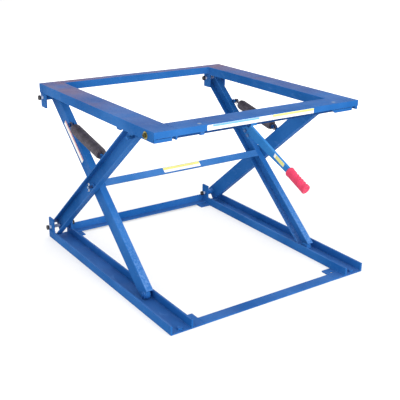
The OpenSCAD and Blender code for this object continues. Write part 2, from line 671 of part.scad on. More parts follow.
// Springs, with an eyed plug at each end of the coil
spring_lug_r = eye_pin_d / 2 + spring_lug_edge;
module lug_hole(at) translate(at) circle(eye_pin_d / 2 + turn_fit);
module rear_lug_shape() difference() {
    union() {
        translate(rear_eye_uv - [spring_lug_r, 0]) square([2 * spring_lug_r, rear_eye_h]);
        translate(rear_eye_uv) circle(spring_lug_r);
    }
    lug_hole(rear_eye_uv);
    translate([-rear_eye_u - 2 * spring_lug_r, -leg_depth / 2]) square([4 * spring_lug_r, leg_depth]);
}
module front_lug_shape() difference() {
    union() {
        translate(front_eye_uv - [spring_lug_r, front_eye_h]) square([2 * spring_lug_r, front_eye_h]);
        translate(front_eye_uv) circle(spring_lug_r);
    }
    lug_hole(front_eye_uv);
}
rear_lug_x = inner_back + leg_t + 2;
front_lug_x = outer_back - leg_t - 3 - spring_lug_t;
module rear_spring_lugs() color(steel_blue) both()
    slab(rear_lug_x, spring_lug_t) inner_view() rear_lug_shape();
module front_spring_lugs() color(steel_blue) both()
    slab(front_lug_x, spring_lug_t) outer_view() front_lug_shape();
module rear_spring_pins() color(steel_blue) both() {
    rod(spring_x - 8, rear_lug_x + spring_lug_t + 3 - spring_x + 8, eye_pin_d / 2,
        rear_eye_at[0], rear_eye_at[1]);
    rod(spring_x - 11, 4, eye_pin_d / 2 + 4, rear_eye_at[0], rear_eye_at[1]);
}
module front_spring_pins() color(steel_blue) both() {
    rod(front_lug_x - 3, spring_x + 8 - front_lug_x + 3, eye_pin_d / 2, front_eye_at[0], front_eye_at[1]);
    rod(spring_x + 7, 4, eye_pin_d / 2 + 4, front_eye_at[0], front_eye_at[1]);
}
module spring_view(side) translate([side * spring_x, rear_eye_at[0], rear_eye_at[1]])
    rotate([90 + spring_tilt, 0, 0]) children();
rear_eye_in = eye_pin_d / 2 + 2.5;
front_eye_in = eye_pin_d / 2 + eye_slack;
module eye_ring(in_r, wire) rotate([0, 90, 0]) rotate_extrude()
    translate([in_r + wire / 2, 0]) circle(wire / 2);
module rear_eye() {
    translate([0, 0, 2.2]) eye_ring(rear_eye_in, rear_eye_wire);
    translate([0, 0, rear_eye_in + 2.2 + rear_eye_wire / 2])
        cylinder(h = rear_reach - rear_eye_in - rear_eye_wire / 2 - 3, r = rear_eye_wire / 2 + 1);
    translate([0, 0, rear_reach - plug_t]) cylinder(h = plug_t, r = plug_r);
    translate([0, 0, rear_reach - 1]) cylinder(h = core_len + 1, r = core_r);
}
module front_eye() translate([0, 0, spring_span]) mirror([0, 0, 1]) {
    translate([0, 0, eye_slack - eye_lead]) eye_ring(front_eye_in, front_eye_wire);
    translate([0, 0, front_eye_in + eye_slack - eye_lead + front_eye_wire / 2])
        cylinder(h = front_reach - front_eye_in - eye_slack - 1, r = front_eye_wire / 2 + 1);
    translate([0, 0, front_reach - plug_t]) cylinder(h = plug_t, r = plug_r);
    translate([0, 0, front_reach - 1]) cylinder(h = core_len + 1, r = core_r);
}

// Coil wire, rings of six points along a helix with bent ends that meet the plugs square
rings = coil_rings * curls;
bend_turn = coil_bend / coil_r * 180 / PI;
function helix_z(k) = rear_reach + seat_gap + wire_d + coil_bend + helix_len * k / rings;
function bent(i) = i == 1 ? [0.71, 0.29] : i == 2 ? [1, 1] : [1, 1 + wire_d / coil_bend];
function path(k) =
    k < 0 ? [-bent(-k)[0] * bend_turn, helix_z(0) - bent(-k)[1] * coil_bend]
    : k > rings ? [360 * curls + bent(k - rings)[0] * bend_turn,
        helix_z(rings) + bent(k - rings)[1] * coil_bend]
    : [360 / coil_rings * k, helix_z(k)];
function lean(k) = k < -1 || k > rings + 1 ? 90 : k < 0 || k > rings ? 45
    : atan(helix_len / curls / (2 * PI * coil_r));
function ring_point(k, j) = let (p = path(k), a = p[0], e = lean(k), r = wire_d / 2, n = r * cos(60 * j),
    b = r * sin(60 * j)) [(coil_r + n) * cos(a) + b * sin(e) * sin(a),
    (coil_r + n) * sin(a) - b * sin(e) * cos(a), p[1] + b * cos(e)];
coil_points = [for (k = [-3:rings + 3]) for (j = [0:5]) ring_point(k, j)];
last_ring = 6 * (rings + 6);
coil_faces = concat(
    [for (j = [1:4]) [0, j, j + 1]],
    [for (k = [0:rings + 5]) for (j = [0:5]) [6 * k + j, 6 * k + 6 + j, 6 * k + (j + 1) % 6]],
    [for (k = [0:rings + 5]) for (j = [0:5]) [6 * k + (j + 1) % 6, 6 * k + 6 + j, 6 * k + 6 + (j + 1) % 6]],
    [for (j = [1:4]) [last_ring, last_ring + j + 1, last_ring + j]]);
coil_gap = min([for (k = [0:rings - coil_rings]) for (i = [0:5]) for (j = [0:5])
    norm(ring_point(k, i) - ring_point(k + coil_rings, j))]);
echo(coil_gap = coil_gap);
module coil() polyhedron(points = coil_points, faces = coil_faces);
module spring_coil_left() color(dark) spring_view(1) coil();
module spring_coil_right() color(dark) spring_view(-1) coil();
module spring_rear_eye_left() color(deep_blue) spring_view(1) rear_eye();
module spring_rear_eye_right() color(deep_blue) spring_view(-1) rear_eye();
module spring_front_eye_left() color(deep_blue) spring_view(1) front_eye();
module spring_front_eye_right() color(deep_blue) spring_view(-1) front_eye();

base_channel_left();
base_channel_right();
base_front_bar();
base_rear_angle();
floor_tabs();
base_hinge_lugs();
base_hinge_pins();
base_pin_caps();
base_stop_bolts();
outer_leg_left();
outer_leg_right();
pivot_pins();
pivot_nuts();
pivot_washers();
top_axles();
top_axle_rings();
catch_pins();
front_spring_lugs();
front_spring_pins();
inner_leg_left();
inner_leg_right();
tie_bar();
base_axles();
base_axle_rings();
rear_spring_lugs();
rear_spring_pins();
top_roller_left();
top_roller_right();
base_roller_left();
base_roller_right();
deck_rail_left();
deck_rail_right();
deck_front_rail();
deck_rear_rail();
deck_stop_plate_left();
deck_stop_plate_right();
deck_hinge_lugs();
deck_hinge_pins();
deck_pin_caps();
guide_bolts();
guide_nuts();
shaft_hangers();
hanger_screws();
lock_shaft();
hook_left();
hook_right();
lever_bracket();
release_lever();
lever_bolts();
lever_nuts();
lever_grip();
spring_coil_left();
spring_coil_right();
spring_rear_eye_left();
spring_rear_eye_right();
spring_front_eye_left();
spring_front_eye_right();
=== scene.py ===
"""Looks of a spring-assisted scissor lift stand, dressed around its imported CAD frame.

Lengths are metres in the part's own frame: +X to the right seen from the lever, +Y towards
the hinges, +Z up, with the origin on the floor under the middle of the stand.
"""

from __future__ import annotations

import json
import logging
import math
from collections.abc import Iterable, Sequence
from dataclasses import dataclass, field
from enum import Enum

import bpy
from mathutils import Matrix, Vector

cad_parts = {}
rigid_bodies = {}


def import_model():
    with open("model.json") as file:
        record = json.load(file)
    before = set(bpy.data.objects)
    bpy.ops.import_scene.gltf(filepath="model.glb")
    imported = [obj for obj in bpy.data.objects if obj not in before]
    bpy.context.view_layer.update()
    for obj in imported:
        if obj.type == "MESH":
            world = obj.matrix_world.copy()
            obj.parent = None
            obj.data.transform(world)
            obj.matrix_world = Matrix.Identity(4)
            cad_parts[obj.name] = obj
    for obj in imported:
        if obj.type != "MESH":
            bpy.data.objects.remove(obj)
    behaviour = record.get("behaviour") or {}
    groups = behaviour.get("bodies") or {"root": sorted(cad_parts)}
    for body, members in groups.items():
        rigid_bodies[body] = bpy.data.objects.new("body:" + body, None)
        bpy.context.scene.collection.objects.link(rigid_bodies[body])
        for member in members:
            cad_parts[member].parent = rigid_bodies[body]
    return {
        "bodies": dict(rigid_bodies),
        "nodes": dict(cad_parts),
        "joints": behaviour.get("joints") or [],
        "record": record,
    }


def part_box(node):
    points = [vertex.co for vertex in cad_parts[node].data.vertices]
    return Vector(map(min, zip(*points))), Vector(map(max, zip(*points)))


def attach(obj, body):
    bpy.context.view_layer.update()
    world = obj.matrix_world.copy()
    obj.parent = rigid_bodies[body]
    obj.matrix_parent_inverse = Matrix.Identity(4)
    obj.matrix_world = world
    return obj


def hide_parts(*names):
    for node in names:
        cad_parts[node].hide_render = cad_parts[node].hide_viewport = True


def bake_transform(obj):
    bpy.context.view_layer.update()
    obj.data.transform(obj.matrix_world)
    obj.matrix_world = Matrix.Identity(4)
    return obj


LOG = logging.getLogger("stand")
MM = 0.001
ORIGIN = Vector((0, 0, 0))
X_AXIS, Y_AXIS, Z_AXIS = Vector((1, 0, 0)), Vector((0, 1, 0)), Vector((0, 0, 1))
Pair = tuple[float, float]
Triple = tuple[float, float, float]
Colour = tuple[float, float, float, float]
Socket = bpy.types.NodeSocket


def shade(code: str) -> Colour:
    """Turn a screen colour into the linear colour that a shader takes.

    Args:
        code: Colour as six hexadecimal digits after a hash mark.

    Returns:
        Linear red, green, blue and an alpha of one.
    """
    parts = [int(code[i : i + 2], 16) / 255 for i in (1, 3, 5)]
    linear = [p / 12.92 if p <= 0.04045 else ((p + 0.055) / 1.055) ** 2.4 for p in parts]
    return (linear[0], linear[1], linear[2], 1.0)


def shades(*codes: str) -> tuple[Colour, ...]:
    """Turn several screen colours into linear colours."""
    return tuple(shade(code) for code in codes)


class Side(Enum):
    """Left or right half of the stand, as the nodes and bodies spell it."""

    LEFT = "left"
    RIGHT = "right"


class Slot(Enum):
    """Material slots of the record."""

    BLUE = "frame_blue"
    ZINC = "zinc"
    GOLD = "yellow_zinc"
    BLACK = "black_steel"
    ROLLER = "roller_steel"
    SPRING = "spring_steel"
    GRIP = "grip_vinyl"


class Graph:
    """Node tree of a material or of the world, with short calls for the nodes that they share."""

    def __init__(self, owner: bpy.types.Material | bpy.types.World, ending: str) -> None:
        """Clear the owner's node tree and give it an output.

        Args:
            owner: Material or world that has the tree.
            ending: Blender's name of the output node's type.
        """
        owner.use_nodes = True
        self.tree = owner.node_tree
        self.tree.nodes.clear()
        self.output = self.tree.nodes.new(ending)
        self.place = self.tree.nodes.new("ShaderNodeTexCoord").outputs

    def add(self, kind: str, inputs: dict[str | int, object], **settings: object) -> bpy.types.Node:
        """Add a node.

        Args:
            kind: Blender's name of the node type.
            inputs: Sockets to link or constants to set, by the input's name or number.
            settings: Properties of the node.

        Returns:
            The new node.
        """
        made = self.tree.nodes.new(kind)
        for key, value in settings.items():
            setattr(made, key, value)
        for key, value in inputs.items():
            if isinstance(value, Socket):
                self.tree.links.new(value, made.inputs[key])
            else:
                made.inputs[key].default_value = value
        return made

    def noise(
        self, scale: float, detail: float, stretch: Sequence[float] = (1.0, 1.0, 1.0), bend: float = 0.0
    ) -> Socket:
        """Cloudy noise in object space.

        Args:
            scale: Clouds per metre.
            detail: Octaves of finer clouds.
            stretch: Extra scale along X, Y and Z.
            bend: How far the clouds are twisted.

        Returns:
            The noise value, around one half.
        """
        spread = self.add("ShaderNodeMapping", {"Vector": self.place["Object"], "Scale": tuple(stretch)})
        inputs = {"Vector": spread.outputs["Vector"], "Scale": scale, "Detail": detail, "Distortion": bend}
        return self.add("ShaderNodeTexNoise", inputs).outputs["Fac"]

    def span(self, value: object, low: float, high: float, to_low: float, to_high: float) -> Socket:
        """Map a value from one span to another and clamp it there."""
        inputs = {"Value": value, 1: low, 2: high, 3: to_low, 4: to_high}
        return self.add("ShaderNodeMapRange", inputs).outputs["Result"]

    def clouds(
        self, scale: float, detail: float, between: Pair, to: Pair = (0.0, 1.0), **shape: object
    ) -> Socket:
        """Noise, stretched and bent as asked, with a span of it mapped to another span."""
        return self.span(self.noise(scale, detail, **shape), *between, *to)

    def sum(self, kind: str, first: object, second: object) -> Socket:
        """Work out one sum, such as MULTIPLY, on two values."""
        return self.add("ShaderNodeMath", {0: first, 1: second}, operation=kind).outputs[0]

    def ramp(self, value: object, stops: Sequence[tuple[float, Colour]]) -> Socket:
        """Colour a value.

        Args:
            value: Number from 0 to 1.
            stops: Places along the ramp with their colours, in order.

        Returns:
            The colour.
        """
        made = self.add("ShaderNodeValToRGB", {"Fac": value})
        bar = made.color_ramp.elements
        while len(bar) < len(stops):
            bar.new(0.5)
        for mark, (place, colour) in zip(bar, stops):
            mark.position = place
            mark.color = colour
        return made.outputs["Color"]

    def mix(self, share: object, first: object, second: object) -> Socket:
        """Mix two colours by a share of the second."""
        inputs = {"Factor": share, 6: first, 7: second}
        return self.add("ShaderNodeMix", inputs, data_type="RGBA").outputs[2]

    def axis(self, source: str, letter: str) -> Socket:
        """One coordinate of the Object point or the Normal, in the part's own frame."""
        return self.add("ShaderNodeSeparateXYZ", {"Vector": self.place[source]}).outputs[letter]

    def edges(self, radius: float) -> Socket:
        """Mask of the outer and inner edges within a radius.

        Args:
            radius: Reach of the mask from an edge.

        Returns:
            About 1 along an edge and 0 on a flat face.
        """
        soft = self.add("ShaderNodeBevel", {"Radius": radius}, samples=4).outputs["Normal"]
        plain = self.add("ShaderNodeNewGeometry", {}).outputs["Normal"]
        turn = self.add("ShaderNodeVectorMath", {0: soft, 1: plain}, operation="DOT_PRODUCT")
        return self.span(turn.outputs["Value"], 0.97, 0.75, 0.0, 1.0)

    def bump(self, height: object, strength: float, depth: float, over: object = None) -> Socket:
        """Dent the surface by a height value.

        Args:
            height: The height, from 0 to 1.
            strength: Share of the effect.
            depth: Depth of a full step.
            over: Normal to dent, if not the plain one.

        Returns:
            The dented normal.
        """
        inputs = {"Strength": strength, "Distance": depth, "Height": height}
        if over is not None:
            inputs["Normal"] = over
        return self.add("ShaderNodeBump", inputs).outputs["Normal"]

    def seen(self) -> Socket:
        """1 for what the camera, gloss or glass sees directly, and else 0."""
        path = self.add("ShaderNodeLightPath", {}).outputs
        seen = self.sum("MAXIMUM", path["Is Camera Ray"], path["Is Glossy Ray"])
        return self.sum("MAXIMUM", seen, path["Is Transmission Ray"])

    def close(self, shader: Socket) -> None:
        """End the tree with a shader."""
        self.tree.links.new(shader, self.output.inputs["Surface"])

    def surface(self, inputs: dict[str | int, object]) -> None:
        """End the tree with a principled surface."""
        self.close(self.add("ShaderNodeBsdfPrincipled", inputs).outputs["BSDF"])


@dataclass(frozen=True)
class Finish:
    """A finish that can be put on any number of pieces."""

    name: str

    def paint(self, graph: Graph) -> None:
        """Fill the finish's node tree."""
        raise NotImplementedError

    def material(self) -> bpy.types.Material:
        """Get the finish's material, made on first use.

        Returns:
            The material.
        """
        found = bpy.data.materials.get(self.name)
        if found is None:
            found = bpy.data.materials.new(self.name)
            self.paint(Graph(found, "ShaderNodeOutputMaterial"))
        return found


@dataclass(frozen=True)
class PowderCoat(Finish):
    """Satin powder coat on steel, cloudy, with scuffs; upward faces are dusty and carry a painted sheen, and
    edges are paler from worn paint and a painted highlight.
    """

    deep: Colour = shade("#1a5a9f")
    fresh: Colour = shade("#316eb4")
    sheen_and_dust_tint: Colour = shade("#7a6476")
    scuff: Colour = shade("#5580bd")
    edge: Colour = shade("#6a93cb")
    sheen_and_dust: float = 0.0
    rearward_share: Pair = (1.0, 1.0)
    chafe: float = 0.0

    def paint(self, graph: Graph) -> None:
        """Fill the finish's node tree."""
        colour = graph.mix(graph.clouds(4.0, 4.0, (0.35, 0.65)), self.deep, self.fresh)
        # Upward faces, more so towards the rear, turn lilac-grey: partly dusty, partly a painted sheen of the
        # light on the tops.
        if self.sheen_and_dust:
            level = graph.span(graph.axis("Normal", "Z"), 0.8, 0.98, 0.0, self.sheen_and_dust)
            rearward = graph.span(graph.axis("Object", "Y"), -0.45, 0.56, *self.rearward_share)
            patch = graph.clouds(5.0, 5.0, (0.3, 0.66), (0.2, 1.0), bend=0.6)
            share = graph.sum("MULTIPLY", graph.sum("MULTIPLY", level, rearward), patch)
            colour = graph.mix(share, colour, self.sheen_and_dust_tint)
        if self.chafe:
            level = graph.span(graph.axis("Normal", "Z"), 0.5, 0.7, 0.0, 1.0)
            low = graph.span(graph.axis("Object", "Z"), 0.08, 0.34, self.chafe, 0.0)
            speck = graph.clouds(120.0, 6.0, (0.42, 0.62), (0.2, 1.0), bend=0.6)
            share = graph.sum("MULTIPLY", graph.sum("MULTIPLY", low, level), speck)
            colour = graph.mix(share, colour, self.edge)
        rub = graph.clouds(38.0, 7.0, (0.6, 0.76), (0.0, 0.4), stretch=(1.0, 0.35, 1.0), bend=1.2)
        colour = graph.mix(rub, colour, self.scuff)
        # Paler edges: worn paint and a painted highlight along each edge.
        edge_wear_and_highlight = graph.clouds(26.0, 4.0, (0.3, 0.6), (0.15, 0.7))
        colour = graph.mix(graph.sum("MULTIPLY", graph.edges(1.6 * MM), edge_wear_and_highlight), colour, self.edge)
        smear = graph.clouds(13.0, 5.0, (0.3, 0.7), (0.4, 0.58), bend=0.4)
        peel = graph.bump(graph.noise(620.0, 2.0), 0.10, 0.3 * MM)
        waves = graph.bump(graph.noise(16.0, 2.0), 0.12, 1.2 * MM, peel)
        graph.surface({"Base Color": colour, "Roughness": smear, "Normal": waves, "Specular IOR Level": 0.03})


@dataclass(frozen=True)
class Plating(Finish):
    """Thin plating on a fastener, with clouded tints and fine tool marks."""

    tints: tuple[Colour, ...]
    grain: Triple = (1.0, 1.0, 1.0)
    gloss: Pair = (0.24, 0.46)
    metal: float = 1.0
    grime: Colour = shade("#5d5e60")

    def paint(self, graph: Graph) -> None:
        """Fill the finish's node tree."""
        colour = graph.ramp(graph.noise(95.0, 4.0, bend=0.5), list(zip((0.32, 0.5, 0.68), self.tints)))
        marks = graph.noise(420.0, 3.0, self.grain)
        colour = graph.mix(graph.span(marks, 0.55, 0.75, 0.0, 0.35), colour, self.grime)
        rough = graph.clouds(150.0, 4.0, (0.3, 0.7), self.gloss)
        fine = graph.bump(marks, 0.18, 0.15 * MM)
        graph.surface({"Base Color": colour, "Metallic": self.metal, "Roughness": rough, "Normal": fine})


@dataclass(frozen=True)
class BlackOxide(Finish):
    """Oiled black oxide on steel, browned and rubbed bright on its edges."""

    deep: Colour = shade("#22232a")
    warm: Colour = shade("#3a3436")
    bare: Colour = shade("#8b8a8c")

    def paint(self, graph: Graph) -> None:
        """Fill the finish's node tree."""
        colour = graph.mix(graph.clouds(70.0, 5.0, (0.35, 0.7)), self.deep, self.warm)
        rub = graph.clouds(90.0, 3.0, (0.35, 0.65), (0.1, 0.8))
        colour = graph.mix(graph.sum("MULTIPLY", graph.edges(0.8 * MM), rub), colour, self.bare)
        rough = graph.clouds(120.0, 4.0, (0.3, 0.7), (0.36, 0.6))
        fine = graph.bump(graph.noise(500.0, 3.0), 0.2, 0.15 * MM)
        graph.surface({"Base Color": colour, "Metallic": 0.7, "Roughness": rough, "Normal": fine})


@dataclass(frozen=True)
class CoilWire(Finish):
    """Dark drawn spring wire with an oily purple-grey bloom and die lines."""

    deep: Colour = shade("#444048")
    bloom: Colour = shade("#5b545f")
    rust: Colour = shade("#6b4f45")

    def paint(self, graph: Graph) -> None:
        """Fill the finish's node tree."""
        colour = graph.mix(graph.clouds(45.0, 5.0, (0.3, 0.7)), self.deep, self.bloom)
        spots = graph.clouds(160.0, 5.0, (0.64, 0.78), (0.0, 0.55), bend=0.8)
        colour = graph.mix(spots, colour, self.rust)
        rough = graph.clouds(200.0, 3.0, (0.3, 0.7), (0.38, 0.58))
        lines = graph.bump(graph.noise(900.0, 2.0), 0.2, 0.12 * MM)
        graph.surface({"Base Color": colour, "Metallic": 0.35, "Roughness": rough, "Normal": lines})


@dataclass(frozen=True)
class DippedVinyl(Finish):
    """Soft dipped vinyl with a fine grain, clouded tone and roughness, and spots of grime."""

    bright: Colour = shade("#de3862")
    deep: Colour = shade("#c3284e")
    grime: Colour = shade("#7d2238")

    def paint(self, graph: Graph) -> None:
        """Fill the finish's node tree."""
        colour = graph.mix(graph.clouds(30.0, 4.0, (0.3, 0.7)), self.deep, self.bright)
        dirt = graph.clouds(75.0, 6.0, (0.62, 0.8), (0.0, 0.4), bend=1.0)
        colour = graph.mix(dirt, colour, self.grime)
        rough = graph.clouds(60.0, 4.0, (0.3, 0.7), (0.36, 0.58))
        grain = graph.bump(graph.noise(750.0, 3.0), 0.25, 0.25 * MM)
        soft = {"Subsurface Weight": 0.12, "Subsurface Scale": 2.0 * MM, "Specular IOR Level": 0.45}
        graph.surface({"Base Color": colour, "Roughness": rough, "Normal": grain} | soft)


@dataclass(frozen=True)
class Film(Finish):
    """Blank label film in one plain colour, yellowed, rubbed and faintly wrinkled."""

    ink: Colour
    aged: Colour
    smudge: Colour = shade("#9a9aa0")

    def paint(self, graph: Graph) -> None:
        """Fill the finish's node tree."""
        colour = graph.mix(graph.clouds(22.0, 5.0, (0.38, 0.72), (0.0, 0.8)), self.ink, self.aged)
        rub = graph.clouds(130.0, 6.0, (0.66, 0.8), (0.0, 0.35), stretch=(0.3, 1.0, 1.0), bend=0.8)
        colour = graph.mix(rub, colour, self.smudge)
        rough = graph.clouds(40.0, 4.0, (0.3, 0.7), (0.26, 0.42))
        wrinkle = graph.bump(graph.noise(55.0, 3.0), 0.15, 0.4 * MM)
        graph.surface({"Base Color": colour, "Roughness": rough, "Normal": wrinkle, "Coat Weight": 0.2})


@dataclass(frozen=True)
class Sweep(Finish):
    """Plain white studio floor that runs into a white background and keeps the shadow."""

    paper: Colour = shade("#c2c2c2")
    worn: Colour = shade("#bcbcbc")
    lift: float = 0.5
    fade: Pair = (0.9, 2.2)

    def paint(self, graph: Graph) -> None:
        """Fill the finish's node tree."""
        grain = graph.mix(graph.clouds(2.0, 3.0, (0.3, 0.7)), self.paper, self.worn)
        matt = graph.add("ShaderNodeBsdfDiffuse", {"Color": grain}).outputs["BSDF"]
        away = graph.add("ShaderNodeVectorMath", {0: graph.place["Object"]}, operation="LENGTH")
        level = graph.span(away.outputs["Value"], *self.fade, self.lift, 1.0)
        strength = graph.sum("MULTIPLY", graph.seen(), level)
        glow = graph.add("ShaderNodeEmission", {"Strength": strength}).outputs["Emission"]
        graph.close(graph.add("ShaderNodeAddShader", {0: matt, 1: glow}).outputs["Shader"])


CLEAN_COAT = PowderCoat("blue_powder_coat")
# Both coats paint a lilac-grey sheen of light on upward faces, which also reads as dusty.
FLOOR_COAT = PowderCoat("sheen_and_dust_floor_coat", sheen_and_dust=0.12)
DECK_COAT = PowderCoat("sheen_and_dust_deck_coat", sheen_and_dust=0.7, rearward_share=(0.15, 1.3))
LEG_COAT = PowderCoat("chafed_powder_coat", chafe=0.7)
# Lighter blue for the lever and its bracket: a lit copy of the frame's blue coat, a painted highlight.
LIT_LEVER_COAT = PowderCoat("painted_highlight_lever_coat", *shades("#2c74b8", "#4488c6"))
# Dark navy coat: on the seam lines under the front face it is painted shadow; on the lock shaft and the spring
# pins it is their own dark colour.
DARK_NAVY_COAT = PowderCoat("dark_navy_coat", *shades("#0f3566", "#184580"))
# Lighter blue for the tie bar: a lit copy of the frame's blue coat, a painted highlight.
LIT_TIE_COAT = PowderCoat("painted_highlight_tie_coat", *shades("#2f69aa", "#4a7dbd"))
# Darker gold for the heads of the guide bolts, against their paler washers.
DARK_GOLD_ZINC = Plating("dark_gold_zinc", shades("#4c4728", "#5f5933", "#464428"), gloss=(0.4, 0.6))
WORN_ZINC = Plating("worn_zinc", shades("#45669a", "#6283b0", "#4f6f9f"), gloss=(0.45, 0.65))
# Pale, mostly matt zinc for the hinge pins: a painted highlight standing in for the bright glint along each
# pin.
PAINTED_HIGHLIGHT_ZINC = Plating("painted_highlight_zinc", shades("#c3cfe2", "#d9e2f0", "#ccd6e6"), metal=0.25)
DULL_ZINC = Plating("dull_zinc", shades("#6f86a6", "#8fa5c0", "#7d90aa"), gloss=(0.4, 0.6))
TURNED_STEEL = Plating("turned_steel", shades("#6d6e72", "#86878a", "#77736c"), (1.0, 0.04, 0.04), (0.3, 0.5))
FINISHES: dict[Slot, Finish] = {
    Slot.BLUE: CLEAN_COAT,
    Slot.ZINC: Plating("bright_zinc", shades("#b9bcc2", "#d2d3d4", "#c4c2ba")),
    Slot.GOLD: Plating("yellow_zinc_plate", shades("#8c8240", "#a19658", "#7f834c"), gloss=(0.4, 0.6)),
    Slot.BLACK: BlackOxide("black_oxide"),
    Slot.ROLLER: TURNED_STEEL,
    Slot.SPRING: CoilWire("coil_wire"),
    Slot.GRIP: DippedVinyl("red_dipped_vinyl"),
}
WHITE_FILM = Film("white_label_film", *shades("#f6f6f2", "#ecebe0"))
YELLOW_FILM = Film("yellow_label_film", *shades("#e0da7c", "#d6cf7e"))
SKY_FILM = Film("sky_label_film", *shades("#69add2", "#7cb6d3"))
RED_FILM = Film("red_label_film", *shades("#c8484f", "#b9555a"))


def ring(centre: Vector, across: Vector, up: Vector, radius: float, count: int) -> list[Vector]:
    """Points of a circle, from the unit direction across it to the one a quarter turn on."""
    turns = [2 * math.pi * j / count for j in range(count)]
    return [centre + (across * math.cos(t) + up * math.sin(t)) * radius for t in turns]


def facing(origin: Vector, right: Vector, up: Vector) -> Matrix:
    """Matrix of a place on a surface, with X to its right, Y up it and Z out of it."""
    return Matrix.Translation(origin) @ Matrix((right, up, right.cross(up))).transposed().to_4x4()


@dataclass
class Shell:
    """Mesh that grows loft by loft and then becomes one object."""

    points: list[Vector] = field(default_factory=list)
    faces: list[tuple[int, ...]] = field(default_factory=list)
    marks: list[int] = field(default_factory=list)

    def face(self, corners: Iterable[int], mark: int = 0) -> None:
        """Add one face with a material mark."""
        self.faces.append(tuple(corners))
        self.marks.append(mark)

    def loft(self, rings: Sequence[Sequence[Vector]], looped: bool = False, mark: int = 0) -> None:
        """Skin a row of rings that all have the same number of points.

        Args:
            rings: Closed rings of points, in order.
            looped: True where the last ring joins the first, and else both ends are capped.
            mark: Material mark of the faces.
        """
        start, count, last = len(self.points), len(rings[0]), len(rings) - 1
        for points in rings:
            self.points.extend(Vector(p) for p in points)
        for k in range(len(rings) if looped else last):
            low = start + k * count
            high = start + (k + 1) % len(rings) * count
            for j in range(count):
                n = (j + 1) % count
                self.face((low + j, low + n, high + n, high + j), mark)
        if not looped:
            self.face(reversed(range(start, start + count)), mark)
            self.face(range(start + last * count, start + (last + 1) * count), mark)

    def turned(
        self,
        levels: Iterable[Pair],
        foot: Vector = ORIGIN,
        axes: Sequence[Vector] = (X_AXIS, Y_AXIS, Z_AXIS),
        count: int = 48,
        mark: int = 0,
    ) -> None:
        """Add a turned piece, from places along the last of its axes with the radius at each."""
        across, up, along = axes
        self.loft([ring(foot + along * place, across, up, r, count) for place, r in levels], mark=mark)

    def take(self, other: Shell) -> None:
        """Add the points and faces of another shell."""
        start = len(self.points)
        self.points += other.points
        for corners, mark in zip(other.faces, other.marks):
            self.face((c + start for c in corners), mark)

    def moved(self, matrix: Matrix) -> Shell:
        """Move every point by a matrix."""
        self.points = [matrix @ p for p in self.points]
        return self

    def with_mirror(self) -> Shell:
        """Add the mirror image across the middle of the stand.

        Returns:
            This shell.
        """
        points = [Vector((-p.x, p.y, p.z)) for p in self.points]
        self.take(Shell(points, [corners[::-1] for corners in self.faces], list(self.marks)))
        return self

    def build(self, name: str, finishes: Sequence[Finish], crease: float = 40.0) -> bpy.types.Object:
        """Make the object.

        Args:
            name: Name of the piece.
            finishes: Finishes, in the order of the material marks.
            crease: Angle in degrees above which an edge stays sharp.

        Returns:
            The object, linked into the scene.
        """
        mesh = bpy.data.meshes.new(name)
        mesh.from_pydata([tuple(p) for p in self.points], [], self.faces)
        for finish in finishes:
            mesh.materials.append(finish.material())
        mesh.polygons.foreach_set("material_index", self.marks)
        mesh.polygons.foreach_set("use_smooth", [True] * len(mesh.polygons))
        mesh.update()
        mesh.set_sharp_from_angle(angle=math.radians(crease))
        made = bpy.data.objects.new(name, mesh)
        bpy.context.scene.collection.objects.link(made)
        return made


@dataclass(frozen=True)
class Weld:
    """A rippled weld bead, half sunk into the corner that it fills."""

    radius: float = 3.6 * MM
    ripple: float = 4.5 * MM
    steps: int = 3
    sides: int = 8
    wave: float = 0.16
    taper: float = 0.45

    def swell(self, step: int) -> float:
        """Radius of the bead at a step along its ripples."""
        return self.radius * (1 - self.wave + self.wave * math.cos(2 * math.pi * step / self.steps))

    def line(self, shell: Shell, start: Vector, end: Vector) -> None:
        """Run a straight bead with tapered ends.

        Args:
            shell: Mesh that takes the bead.
            start: First point of the corner.
            end: Last point of the corner.
        """
        run = end - start
        count = max(2, round(run.length / self.ripple)) * self.steps
        along = run.normalized()
        across = along.orthogonal().normalized()
        up = along.cross(across)
        rings = []
        for k in range(count + 1):
            share = self.taper if k in (0, count) else 1.0
            rings.append(ring(start + run * (k / count), across, up, self.swell(k) * share, self.sides))
        shell.loft(rings)

    def round(self, shell: Shell, centre: Vector, radius: float) -> None:
        """Run a bead round a tube that lies across the stand.

        Args:
            shell: Mesh that takes the bead.
            centre: Middle of the tube where it meets the plate.
            radius: Radius of the tube.
        """
        count = max(6, round(2 * math.pi * radius / self.ripple)) * self.steps
        first = X_AXIS.orthogonal().normalized()
        second = X_AXIS.cross(first)
        rings = []
        for k in range(count):
            turn = 2 * math.pi * k / count
            out = first * math.cos(turn) + second * math.sin(turn)
            rings.append(ring(centre + out * radius, out, X_AXIS, self.swell(k), self.sides))
        shell.loft(rings, looped=True)


